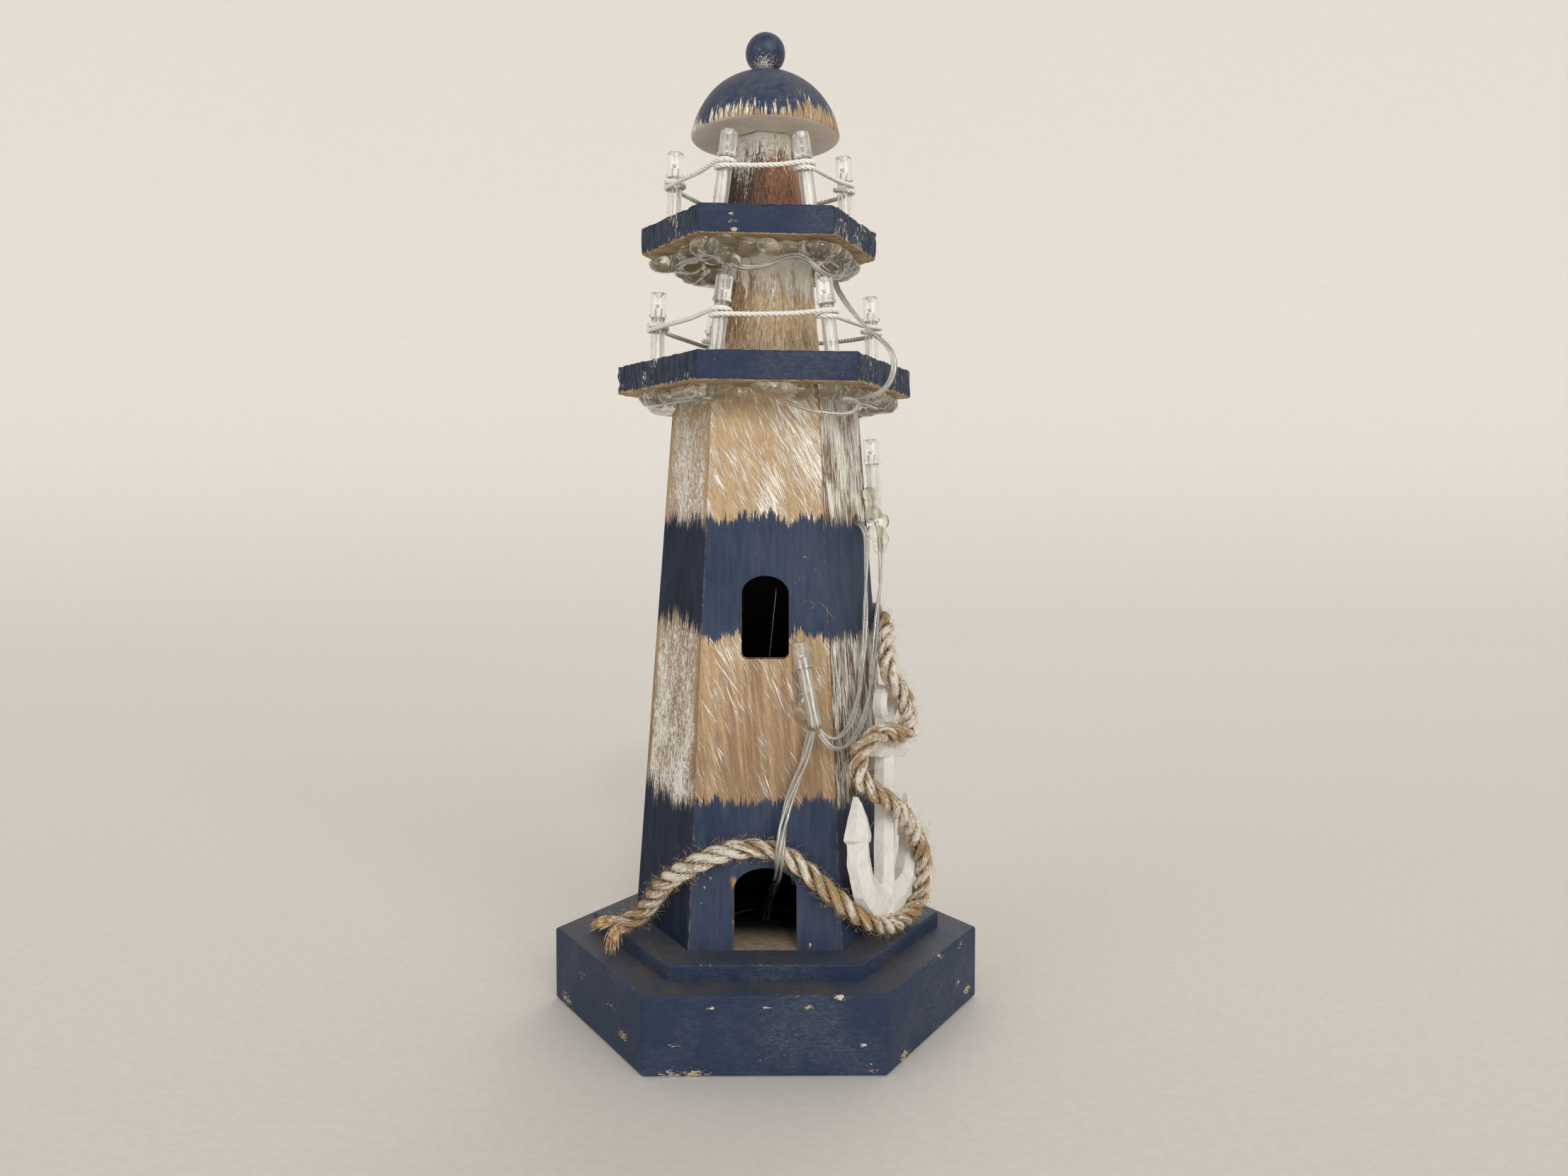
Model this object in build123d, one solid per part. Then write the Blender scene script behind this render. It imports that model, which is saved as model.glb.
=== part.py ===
from build123d import *
import os
from math import cos, radians, sin, sqrt, tan

# A wooden miniature lighthouse with battery lamps. Millimetres, +Z up, the front board faces -Y.
# The origin is the middle of the plinth's underside.

# Base
plinth_corners = 133.0
plinth_height = 22.4
plinth_edge = 0.9
step_corners = 108.8
step_height = 4.7
step_edge = 0.7

# Tower of six mitred boards
tower_corners = 81.8
tower_front = 44.6
tower_depth = 70.8
tower_head_corners = 57.0
tower_height = 162.2
board = 6.0

# Door and window in the front board
door_width = 18.2
door_side = 17.0
door_rise = 6.4
window_width = 13.8
window_sill = 83.4
window_side = 18.6
window_rise = 5.5
window_corner = 1.8

# Decks
lower_deck_corners = 91.4
lower_deck_front = 45.6
lower_deck_depth = 79.2
lower_deck_thick = 8.6
lower_deck_turn = 5.4
upper_deck_corners = 72.9
upper_deck_front = 39.0
upper_deck_depth = 63.1
upper_deck_thick = 8.5
upper_deck_turn = 4.4
upper_deck_shift = -1.7
deck_edge = 0.5

# Columns, dome and ball
mid_foot_corners = 36.4
mid_head_corners = 30.0
mid_height = 33.8
mid_turn = -22.0
top_foot_corners = 28.4
top_head_corners = 19.4
top_height = 27.6
top_turn = 16.0
dome_radius = 22.8
dome_height = 20.2
dome_wall = 0.8
dome_lip = 0.5
dome_seat_radius = 2.5
ball_radius = 6.1
ball_flat = 0.2

# Hidden dowels
spine_diameter = 8.0
spine_reach = 10.0
pin_diameter = 3.0
pin_depth = 5.0
dowel_clearance = 0.1

# Lamps: a clear bulb on a clear sleeve with two legs inside
bulb_diameter = 5.0
bulb_height = 7.6
bulb_flange = 0.25
bulb_flange_height = 1.0
bulb_dimple = 1.7
bulb_dimple_radius = 1.9
sleeve_diameter = 4.3
sleeve_bore = 3.3
leg_diameter = 0.6
leg_spacing = 1.5
leg_stub = 0.5
lamp_hole_clearance = 0.15
lamp_tail = 2.0
lower_lamp_circle = 33.5
lower_lamp_stem = 15.0
lower_lamp_lean = 6.4
upper_lamp_circle = 26.5
upper_lamp_stem = 15.4
upper_lamp_lean = 7.5
side_lamp_lean = 1.5
tower_lamp_stem = 17.0
tower_lamp_gap = 0.9
window_lamp_along = 14.4
window_lamp_drop = 18.9
window_lamp_lean = 11.0
corner_lamp_drop = 37.8

# Rail cord, hitched round each lamp
rail_diameter = 1.5
rail_clearance = 0.3
hitch_gap = 0.06
lower_rail_height = 12.0
upper_rail_height = 13.2

# Leads and hot glue
ring_lead_diameter = 2.0
lead_diameter = 1.8
slack_diameter = 1.2
lead_clearance = 0.2
lower_ring_gap = 0.9
upper_ring_inset = 0.5
run_share = 0.45
lower_beads = [8.0, 6.6, 7.4, 8.2, 7.0, 7.8]
lower_bead_depth = 7.0
upper_beads = [6.6, 7.2, 6.2, 6.8, 7.4, 7.0]
upper_bead_depth = 6.6
tie_bead = 5.0
tie_bead_depth = 5.6
glue_clearance = 0.05
window_dab = 3.6
window_dab_up = 6.0
corner_dab = 4.2
corner_dab_up = 7.0
wire_hole = 4.2
rear_hole_drop = 7.9
wall_hole_along = 7.9
wall_hole_drop = 38.6
floor_hole = 26.0
floor_hole_back = 5.0
plinth_hole = 9.0

# Anchor, standing off the front right board on dabs of glue
anchor_thick = 4.2
anchor_bevel = 1.0
anchor_standoff = 4.9
anchor_along = -3.4
anchor_up = 6.4
anchor_lean = -9.0
shank_width = 8.6
shank_height = 59.0
eye_radius = 6.0
eye_hole = 2.6
arm_crotch = 12.5
arm_knee = 16.5
arm_knee_height = 8.6
arm_width = 7.4
fluke_out = 19.5
fluke_foot = 23.5
fluke_width = 11.6
fluke_barb = 1.6
fluke_tip = 34.0
fluke_tip_width = 3.4
stock_length = 19.6
stock_height = 5.4
stock_thick = 5.3
stock_up = 48.8
anchor_dab = 6.4
anchor_dab_heights = [20.0, 44.0]

# Jute rope
rope_diameter = 5.0

# Battery case for two cells, sunk in the plinth's underside
cell_diameter = 14.2
cell_length = 49.2
nub_diameter = 5.2
nub_height = 1.3
cell_gap = 0.6
contact_thick = 0.5
contact_room = 1.5
case_wall = 1.5
case_gap = 0.4
case_recess = 1.0
cover_thick = 1.6
cover_clearance = 0.3
divider = 1.5
switch_bay = 7.0
hinge_pin = 1.2
hinge_clearance = 0.08
knuckle_gap = 0.2
latch_width = 8.0
latch_reach = 1.0
latch_thick = 0.8
switch_length = 12.0
switch_width = 5.6
switch_height = 5.6
slider_length = 5.0
slider_width = 3.4
slider_stem = 2.6
slider_travel = 3.6
slider_clearance = 0.25
switch_floor = 1.4
slider_inset = 0.4

# Heights that follow
floor_top = plinth_height + step_height
lower_deck_bottom = floor_top + tower_height
lower_deck_top = lower_deck_bottom + lower_deck_thick
upper_deck_bottom = lower_deck_top + mid_height
upper_deck_top = upper_deck_bottom + upper_deck_thick
dome_bottom = upper_deck_top + top_height
dome_top = dome_bottom + dome_height
ball_centre = dome_top + ball_radius - ball_flat
taper = tower_head_corners / tower_corners

faces = ["rear_right", "rear", "rear_left", "front_left", "front", "front_right"]
on_base = (Align.CENTER, Align.CENTER, Align.MIN)
os.makedirs("parts", exist_ok=True)


def save(name, *solids):
    """Writes one node: a single solid, or a group of like solids."""
    pieces = [solid for shape in solids for solid in shape.solids()]
    export_step(pieces[0] if len(pieces) == 1 else Compound(pieces), f"parts/{name}.step")


def hexagon(corners, front, depth, turn=0.0, shift=0.0):
    """Corner points, anticlockwise from the right-hand corner, with a front edge of its own width."""
    half = corners / 2
    ring = [(half, 0), (front / 2, depth / 2), (-front / 2, depth / 2)]
    ring += [(-x, -y) for x, y in ring]
    return [Vector(x, y, 0).rotate(Axis.Z, turn) + Vector(shift, 0, 0) for x, y in ring]


def even_hexagon(corners, turn=0.0):
    """A regular hexagon of the given width across corners."""
    return hexagon(corners, corners / 2, corners * cos(radians(30)), turn)


def frustum(low, high, bottom, top):
    """A solid with flat sides between two rings of points at two heights."""
    rings = [[point + Vector(0, 0, z) for point in ring] for ring, z in ((low, bottom), (high, top))]
    return Solid.make_loft([Wire.make_polygon(ring, close=True) for ring in rings], ruled=True)


def inset(ring, wall):
    """The ring moved inwards by a wall, corner by corner along its mitres."""
    count = len(ring)
    edges = [(ring[(i + 1) % count] - ring[i]).normalized() for i in range(count)]
    inward = [Vector(-edge.Y, edge.X, 0) for edge in edges]
    return [
        ring[i] + (inward[i - 1] + inward[i]) * (wall / (1 + inward[i - 1].dot(inward[i])))
        for i in range(count)
    ]


def rod(start, end, diameter):
    """A round bar between two points."""
    axis = Vector(*end) - Vector(*start)
    place = Plane(origin=start, z_dir=axis)
    return place.location * Cylinder(diameter / 2, axis.length, align=on_base)


def bend_radii(points):
    """The largest arc that the two runs at each point allow."""
    route = [Vector(*point) for point in points]
    radii = []
    for before, corner, after in zip(route, route[1:], route[2:]):
        run = min((corner - before).length, (after - corner).length)
        turn = (corner - before).get_angle(after - corner)
        radii.append(run_share * run / tan(radians(turn / 2)))
    return radii


def tube(points, diameter):
    """A round tube along straight runs and tangent arcs."""
    path = FilletPolyline(*points, radius=bend_radii(points))
    return sweep(Plane(origin=path @ 0, z_dir=path % 0) * Circle(diameter / 2), path=path)


def save_cord(name, points, diameter):
    """One cord's node, with its length, its radii and its volume set against section times length."""
    solid = tube(points, diameter)
    radii = bend_radii(points)
    length = FilletPolyline(*points, radius=radii).length
    share = solid.volume / (Circle(diameter / 2).area * length)
    print(name, "length", round(length, 1), "volume share", round(share, 4))
    print("  radii in diameters", [round(radius / diameter, 1) for radius in radii])
    save(name, solid)


# Tower rings and the plane of each board's outer face: X along the foot, Y up the slope, Z outwards
foot_ring = hexagon(tower_corners, tower_front, tower_depth)
head_ring = [point * taper for point in foot_ring]
foot_inner = inset(foot_ring, board)
head_inner = inset(head_ring, board)


def face_plane(index):
    """The outer face of one board, with its origin in the middle of its foot."""
    start = foot_ring[index]
    end = foot_ring[(index + 1) % 6]
    rise = head_ring[index] - start + Vector(0, 0, tower_height)
    along = end - start
    return Plane(
        origin=(start + end) / 2 + Vector(0, 0, floor_top), x_dir=along, z_dir=along.cross(rise)
    )


def slant(name):
    """The height of one board's outer face, from its foot to its head."""
    index = faces.index(name)
    foot = (foot_ring[index] + foot_ring[(index + 1) % 6]) / 2
    return (foot * (taper - 1) + Vector(0, 0, tower_height)).length


def tower_board(index):
    """One tapered board, mitred along both long edges."""
    after = (index + 1) % 6
    low = [foot_ring[index], foot_ring[after], foot_inner[after], foot_inner[index]]
    high = [head_ring[index], head_ring[after], head_inner[after], head_inner[index]]
    return frustum(low, high, floor_top, lower_deck_bottom)


def arch(width, side, rise, foot):
    """An upright arched outline in the XZ plane, standing on a foot height."""
    straight = Pos(0, foot + side / 2) * Rectangle(width, side)
    return straight + Pos(0, foot + side) * Ellipse(width / 2, rise)


tower_core = frustum(foot_ring, head_ring, floor_top, lower_deck_bottom)
face = {name: face_plane(index) for index, name in enumerate(faces)}
boards = {name: tower_board(index) for index, name in enumerate(faces)}

door = arch(door_width, door_side, door_rise, floor_top)
window = arch(window_width, window_side, window_rise, floor_top + window_sill)
window = fillet(window.vertices().sort_by(Axis.Y)[:2], window_corner)
boards["front"] -= extrude(Plane.XZ * (door + window), amount=tower_depth)
wall_hole = rod((0, 0, -2 * board), (0, 0, board), wire_hole)
wall_hole_up = slant("front_right") - wall_hole_drop
rear_hole_up = slant("rear") - rear_hole_drop
boards["front_right"] -= (face["front_right"] * Pos(wall_hole_along, wall_hole_up)) * wall_hole
boards["rear"] -= (face["rear"] * Pos(0, rear_hole_up)) * wall_hole


# Lamps: each place is a plane at the lamp's foot, with Z along the lamp
def lamp_ring(circle, deck_top, turn, shift, lean):
    """Six lamp places near a deck's corners: the front and rear pairs lean together, the sides less."""
    places = []
    for index in range(6):
        angle = radians(60 * index + turn)
        outward = Vector(cos(angle), sin(angle), 0)
        tilt = radians(lean if index % 3 else side_lamp_lean)
        axis = Vector(-sin(tilt) if outward.X > 0 else sin(tilt), 0, cos(tilt))
        places.append(Plane(origin=outward * circle + Vector(shift, 0, deck_top), z_dir=axis))
    return places


def lamp_sleeve(place, tail, stem):
    """The clear tube that carries a bulb."""
    length = tail + stem
    tube = Cylinder(sleeve_diameter / 2, length, align=on_base)
    tube -= Cylinder(sleeve_bore / 2, length, align=on_base)
    return place.location * Pos(0, 0, -tail) * tube


def lamp_bulb(place, stem):
    """A clear bulb with a flange at its foot and a cone sunk in its top."""
    bulb = Cylinder(bulb_diameter / 2, bulb_height, align=on_base)
    bulb += Cylinder(bulb_diameter / 2 + bulb_flange, bulb_flange_height, align=on_base)
    cone = Cone(leg_diameter / 2, bulb_dimple_radius, bulb_dimple, align=on_base)
    return place.location * Pos(0, 0, stem) * (bulb - Pos(0, 0, bulb_height - bulb_dimple) * cone)


def lamp_legs(place, tail, stem):
    """The two legs inside the sleeve, from under the bulb to just past the sleeve's end."""
    leg = Cylinder(leg_diameter / 2, tail + stem + leg_stub, align=on_base)
    foot = -tail - leg_stub
    return [place.location * Pos(side * leg_spacing / 2, 0, foot) * leg for side in (-1, 1)]


def save_lamps(name, places, tail, stem):
    """Three nodes for one group of lamps."""
    save(f"{name}_lamp_sleeves", *[lamp_sleeve(place, tail, stem) for place in places])
    save(f"{name}_lamp_bulbs", *[lamp_bulb(place, stem) for place in places])
    save(f"{name}_lamp_legs", *[leg for place in places for leg in lamp_legs(place, tail, stem)])


lower_lamps = lamp_ring(lower_lamp_circle, lower_deck_top, lower_deck_turn, 0, lower_lamp_lean)
upper_lamps = lamp_ring(
    upper_lamp_circle, upper_deck_top, upper_deck_turn, upper_deck_shift, upper_lamp_lean
)
lower_tail = lower_deck_thick / cos(radians(lower_lamp_lean)) + lamp_tail
upper_tail = upper_deck_thick / cos(radians(upper_lamp_lean)) + lamp_tail
lamp_offset = sleeve_diameter / 2 + tower_lamp_gap
window_foot = face["front"] * Pos(window_lamp_along, window_sill - window_lamp_drop, lamp_offset)
window_lamp = Plane(window_foot * Rot(0, 0, window_lamp_lean) * Rot(-90, 0, 0))
corner_edge = head_ring[0] - foot_ring[0] + Vector(0, 0, tower_height)
corner_foot = foot_ring[0] + Vector(lamp_offset, 0, floor_top)
corner_lamp = Plane(
    origin=corner_foot + corner_edge * (1 - corner_lamp_drop / tower_height), z_dir=corner_edge
)
tower_lamps = [window_lamp, corner_lamp]
save_lamps("lower", lower_lamps, lower_tail, lower_lamp_stem)
save_lamps("upper", upper_lamps, upper_tail, upper_lamp_stem)
save_lamps("tower", tower_lamps, 0, tower_lamp_stem)


# Rail cords: a belt round the six sleeves, with one more turn below it at each
def rail_cord(places, deck_top, height):
    """The belt and the six hitch turns."""
    reach = sleeve_diameter / 2 + rail_clearance + rail_diameter / 2
    posts = []
    for place in places:
        posts.append(place.origin + place.z_dir * (height / place.z_dir.Z))
    outward = []
    for index, post in enumerate(posts):
        span = (posts[(index + 1) % 6] - post).normalized()
        outward.append(Vector(span.Y, -span.X, 0))
    edges = []
    for index, post in enumerate(posts):
        after = posts[(index + 1) % 6]
        turned = outward[(index + 1) % 6]
        edges.append(Edge.make_line(post + outward[index] * reach, after + outward[index] * reach))
        middle = after + (outward[index] + turned).normalized() * reach
        edges.append(
            Edge.make_three_point_arc(after + outward[index] * reach, middle, after + turned * reach)
        )
    belt = Wire(edges)
    tube = sweep(Plane(origin=belt @ 0, z_dir=belt % 0) * Circle(rail_diameter / 2), path=belt)
    drop = Vector(0, 0, rail_diameter + hitch_gap)
    turns = [Pos(*(post - drop)) * Torus(reach, rail_diameter / 2) for post in posts]
    return [tube, *turns]


save("lower_rail_cord", *rail_cord(lower_lamps, lower_deck_top, lower_rail_height))
save("upper_rail_cord", *rail_cord(upper_lamps, upper_deck_top, upper_rail_height))

# Base
plinth = frustum(even_hexagon(plinth_corners), even_hexagon(plinth_corners), 0, plinth_height)
plinth = fillet(plinth.edges(), plinth_edge)
step = frustum(even_hexagon(step_corners), even_hexagon(step_corners), plinth_height, floor_top)
step = fillet(step.edges().filter_by(Axis.Z) + step.edges().group_by(Axis.Z)[-1], step_edge)
step -= rod((0, floor_hole_back, 0), (0, floor_hole_back, 2 * floor_top), floor_hole)

# Battery case: the cells lie along X, the switch bay is at the right-hand end
cells_room = cell_length + nub_height + 2 * contact_room
inner_length = cells_room + divider + switch_bay
inner_width = 2 * cell_diameter + 3 * cell_gap
case_length = inner_length + 2 * case_wall
case_width = inner_width + 2 * case_wall
case_bottom = case_recess
inner_top = case_bottom + cover_thick + cell_gap + cell_diameter + cell_gap
case_top = inner_top + case_wall
bay_left = -inner_length / 2
bay_right = bay_left + cells_room
switch_middle = bay_right + divider + switch_bay / 2
cell_height = inner_top - cell_gap - cell_diameter / 2
on_corner = (Align.MIN, Align.CENTER, Align.MIN)
knuckle_radius = (cover_thick + cell_gap - knuckle_gap) / 2
hinge_x = bay_left + cover_clearance + knuckle_radius
hinge_z = case_bottom + knuckle_radius

pocket = Pos(0, floor_hole_back, 0) * Box(
    case_length + 2 * case_gap, case_width + 2 * case_gap, case_top, align=on_base
)
plinth -= pocket
plinth -= rod((0, floor_hole_back, 0), (0, floor_hole_back, 2 * plinth_height), plinth_hole)
save("base_plinth", plinth)
save("base_step", step)

case = Pos(0, 0, case_bottom) * Box(case_length, case_width, case_top - case_bottom, align=on_base)
case -= Pos(bay_left, 0, case_bottom) * Box(
    cells_room, inner_width, inner_top - case_bottom, align=on_corner
)
switch_seat = case_bottom + slider_inset + switch_floor
case -= Pos(bay_right + divider, 0, switch_seat) * Box(
    switch_bay, inner_width, inner_top - switch_seat, align=on_corner
)
case -= Pos(bay_right + divider, 0, case_bottom) * Box(
    switch_bay, inner_width, slider_inset, align=on_corner
)
slot_length = slider_stem + slider_travel + 2 * slider_clearance
case -= Pos(switch_middle, 0, case_bottom) * Box(
    slider_stem + 2 * slider_clearance, slot_length, slider_inset + switch_floor, align=on_base
)
pin_bore = hinge_pin + 2 * hinge_clearance
case -= rod((hinge_x, -case_width, hinge_z), (hinge_x, case_width, hinge_z), pin_bore)
case -= Pos(bay_right, 0, case_bottom) * Box(
    latch_reach + cover_clearance,
    latch_width + 2 * cover_clearance,
    cover_thick + cover_clearance,
    align=on_corner,
)
lead_hole = rod((0, 0, inner_top), (0, 0, 2 * case_top), ring_lead_diameter + 2 * lead_clearance)
case -= lead_hole
behind = Pos(0, floor_hole_back, 0)
save("battery_case", behind * case)

cover_width = inner_width - 2 * cover_clearance
cover = Pos(hinge_x, 0, case_bottom) * Box(
    bay_right - cover_clearance - hinge_x, cover_width, cover_thick, align=on_corner
)
cover += rod((hinge_x, -cover_width / 2, hinge_z), (hinge_x, cover_width / 2, hinge_z), 2 * knuckle_radius)
cover += rod((hinge_x, -case_width / 2, hinge_z), (hinge_x, case_width / 2, hinge_z), hinge_pin)
cover += Pos(bay_right - cover_clearance, 0, case_bottom + cover_thick - latch_thick) * Box(
    latch_reach, latch_width, latch_thick, align=on_corner
)
save("battery_cover", behind * cover)

cells = []
contacts = []
cell_start = bay_left + contact_room
for side in (-1, 1):
    middle = side * (cell_diameter + cell_gap) / 2
    body = rod((0, 0, 0), (cell_length, 0, 0), cell_diameter)
    nub = rod((cell_length, 0, 0), (cell_length + nub_height, 0, 0), nub_diameter)
    cell = body + nub
    if side < 0:
        cell = Pos(cell_length + nub_height, 0, 0) * Rot(0, 0, 180) * cell
    cells.append(Pos(cell_start, middle, cell_height) * cell)
    plate = Box(contact_thick, nub_diameter * 2, nub_diameter * 2, align=on_corner)
    boss = rod((0, 0, 0), (contact_room - contact_thick, 0, 0), nub_diameter)
    low = cell_height - nub_diameter
    contacts.append(Pos(bay_right - contact_thick, middle, low) * plate)
    contacts[-1] += Pos(bay_right - contact_room, middle, cell_height) * boss
    contacts.append(Pos(bay_left, middle, low) * plate)
    contacts[-1] += Pos(bay_left + contact_thick, middle, cell_height) * boss
save("battery_cells", *[behind * cell for cell in cells])
save("battery_contacts", *[behind * contact for contact in contacts])

switch = Pos(switch_middle, 0, switch_seat) * Box(
    switch_width, switch_length, switch_height, align=on_base
)
slider_room = slider_length + slider_travel + 2 * slider_clearance
block_height = switch_height / 2
switch -= Pos(switch_middle, 0, switch_seat) * Box(
    slider_width + 2 * slider_clearance, slider_room, block_height + slider_clearance, align=on_base
)
save("switch_body", behind * switch)
rest = -slider_travel / 2
slider = Pos(switch_middle, rest, switch_seat) * Box(
    slider_width, slider_length, block_height, align=on_base
)
slider += Pos(switch_middle, rest, case_bottom) * Box(
    slider_stem, slider_stem, switch_seat - case_bottom, align=on_base
)
save("switch_slider", behind * slider)

# Decks with lamp holes, columns, dome, ball and dowels
spine_bore = rod((0, 0, 0), (0, 0, dome_bottom + spine_reach), spine_diameter + 2 * dowel_clearance)


def deck(ring, bottom, top, places):
    """A hexagonal board with a hole for each lamp and for the spine."""
    solid = frustum(ring, ring, bottom, top)
    solid = fillet(solid.edges(), deck_edge)
    hole = sleeve_diameter / 2 + lamp_hole_clearance
    for place in places:
        solid -= place.location * Cylinder(hole, 4 * (top - bottom))
    return solid - spine_bore


lower_ring = hexagon(lower_deck_corners, lower_deck_front, lower_deck_depth, lower_deck_turn)
upper_ring = hexagon(
    upper_deck_corners, upper_deck_front, upper_deck_depth, upper_deck_turn, upper_deck_shift
)
save("lower_deck", deck(lower_ring, lower_deck_bottom, lower_deck_top, lower_lamps))
save("upper_deck", deck(upper_ring, upper_deck_bottom, upper_deck_top, upper_lamps))
mid_column = frustum(
    even_hexagon(mid_foot_corners, mid_turn),
    even_hexagon(mid_head_corners, mid_turn),
    lower_deck_top,
    upper_deck_bottom,
)
top_column = frustum(
    even_hexagon(top_foot_corners, top_turn),
    even_hexagon(top_head_corners, top_turn),
    upper_deck_top,
    dome_bottom,
)
save("mid_column", mid_column - spine_bore)
save("top_column", top_column - spine_bore)
save("spine_dowel", rod((0, 0, lower_deck_bottom), (0, 0, dome_bottom + spine_reach), spine_diameter))

cap_rise = dome_height - dome_wall
cap_radius = (dome_radius**2 - dome_seat_radius**2 + cap_rise**2) / (2 * cap_rise)
cap_radius = sqrt((cap_radius - cap_rise) ** 2 + dome_radius**2)
profile = Plane.XZ * make_face(
    [
        Polyline(
            (0, dome_top),
            (0, dome_bottom),
            (dome_radius, dome_bottom),
            (dome_radius, dome_bottom + dome_wall),
        ).edges(),
        RadiusArc((dome_radius, dome_bottom + dome_wall), (dome_seat_radius, dome_top), -cap_radius),
        Line((dome_seat_radius, dome_top), (0, dome_top)),
    ]
)
dome = revolve(profile, Axis.Z)
dome = fillet(dome.edges().group_by(Axis.Z)[0], dome_lip)
pin_bore_top = rod(
    (0, 0, dome_top - pin_depth), (0, 0, dome_top + pin_depth), pin_diameter + 2 * dowel_clearance
)
save("dome_roof", dome - spine_bore - pin_bore_top)
ball = Pos(0, 0, ball_centre) * Sphere(ball_radius)
ball -= Pos(0, 0, dome_top) * Box(3 * ball_radius, 3 * ball_radius, 3 * ball_radius, align=(
    Align.CENTER, Align.CENTER, Align.MAX))
save("ball_finial", ball - pin_bore_top)
save("finial_dowel", rod((0, 0, dome_top - pin_depth), (0, 0, dome_top + pin_depth), pin_diameter))

for name, solid in boards.items():
    save(f"{name}_panel", solid)


# Leads: the rings lie under the lamps' ends, from the front right lamp round the back to the front left
def ring_route(radius, bottom, turn, shift):
    """Corner points of a ring lead under a deck."""
    height = bottom - lamp_tail - leg_stub - 2 * lead_clearance - ring_lead_diameter / 2
    angles = [radians(turn - 60 + 60 * index) for index in range(6)]
    return [(radius * cos(a) + shift, radius * sin(a), height) for a in angles]


tower_reach = max(point.length for point in head_ring)
lower_ring_radius = (tower_reach + lower_ring_gap + ring_lead_diameter / 2) / cos(radians(30))
upper_ring_radius = upper_lamp_circle - upper_ring_inset
lower_ring_route = ring_route(lower_ring_radius, lower_deck_bottom, lower_deck_turn, 0)
upper_ring_route = ring_route(
    upper_ring_radius, upper_deck_bottom, upper_deck_turn, upper_deck_shift
)
deck_link_route = [
    (25.5, -27.8, 185.6),
    (31.0, -29.7, 185.9),
    (35.5, -31.2, 189.0),
    (37.2, -31.5, 194.5),
    (35.8, -30.5, 199.8),
    (31.5, -28.5, 203.8),
    (27.0, -26.0, 208.6),
    (23.0, -22.2, 214.8),
    (20.6, -17.2, 220.4),
    (19.8, -13.2, 226.2),
]
lower_slack_route = [
    (22.0, -33.4, 185.0),
    (25.2, -32.4, 185.2),
    (27.2, -31.2, 183.6),
    (25.8, -30.8, 181.5),
    (21.4, -31.4, 180.8),
    (14.2, -31.8, 181.5),
    (8.4, -31.4, 183.3),
    (3.8, -31.0, 185.6),
    (0.2, -30.6, 188.4),
]
upper_slack_route = [
    (-18.6, -24.0, 229.4),
    (-14.4, -26.0, 226.2),
    (-8.4, -25.4, 223.9),
    (-2.0, -24.2, 223.8),
    (3.4, -23.6, 225.8),
    (8.0, -24.2, 227.6),
    (12.4, -25.8, 226.4),
    (15.0, -25.8, 223.0),
    (18.4, -24.0, 221.0),
    (21.8, -20.8, 221.6),
    (23.2, -17.0, 224.6),
    (22.2, -13.6, 228.2),
]
wall_lead_route = [
    (1.0, 31.6, 182.6),
    (0.6, 28.4, 181.8),
    (0.4, 24.0, 181.2),
    (0.6, 18.6, 180.4),
    (2.2, 13.6, 177.0),
    (6.0, 8.6, 171.4),
    (11.4, 3.6, 163.6),
    (17.0, -0.8, 156.2),
    (21.4, -3.6, 151.8),
    (25.6, -5.8, 150.6),
    (28.8, -7.4, 150.2),
    (30.7, -8.6, 147.4),
    (30.9, -9.4, 142.0),
    (30.6, -10.6, 133.4),
    (30.4, -12.6, 123.6),
    (29.8, -15.4, 113.4),
    (28.6, -19.4, 103.6),
    (26.8, -24.6, 95.4),
    (24.2, -29.8, 90.4),
    (21.2, -33.0, 88.0),
    (17.8, -34.2, 88.0),
    (15.5, -34.0, 90.6),
]
lamp_lead_route = [
    (34.6, 0.2, 150.6),
    (35.6, -0.8, 146.2),
    (35.8, -3.0, 139.4),
    (35.2, -5.8, 130.4),
    (34.0, -9.4, 120.6),
    (32.8, -13.8, 109.6),
    (31.2, -18.8, 99.4),
    (28.8, -25.2, 91.6),
    (25.4, -31.4, 87.0),
    (21.6, -35.6, 85.0),
    (17.8, -37.0, 86.2),
    (15.6, -36.2, 89.8),
]
door_lead_route = [
    (13.2, -34.6, 90.4),
    (12.0, -35.0, 84.0),
    (9.4, -35.2, 77.2),
    (6.8, -35.8, 70.6),
    (5.2, -37.6, 64.4),
    (4.4, -40.8, 59.0),
    (3.9, -41.0, 53.4),
    (3.6, -37.4, 48.6),
    (3.2, -30.6, 46.0),
    (2.6, -22.8, 42.8),
    (1.9, -14.8, 38.2),
    (1.1, -7.0, 33.6),
    (0.5, -0.6, 29.4),
    (0.1, 3.8, 24.4),
    (0.0, 5.0, 18.6),
]
save_cord("lower_ring_lead", lower_ring_route, ring_lead_diameter)
save_cord("upper_ring_lead", upper_ring_route, ring_lead_diameter)
save_cord("deck_link_lead", deck_link_route, lead_diameter)
save_cord("lower_slack_lead", lower_slack_route, slack_diameter)
save_cord("upper_slack_lead", upper_slack_route, lead_diameter)
save_cord("wall_lead", wall_lead_route, lead_diameter)
save_cord("lamp_lead", lamp_lead_route, lead_diameter)
save_cord("door_lead", door_lead_route, ring_lead_diameter)

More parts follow.
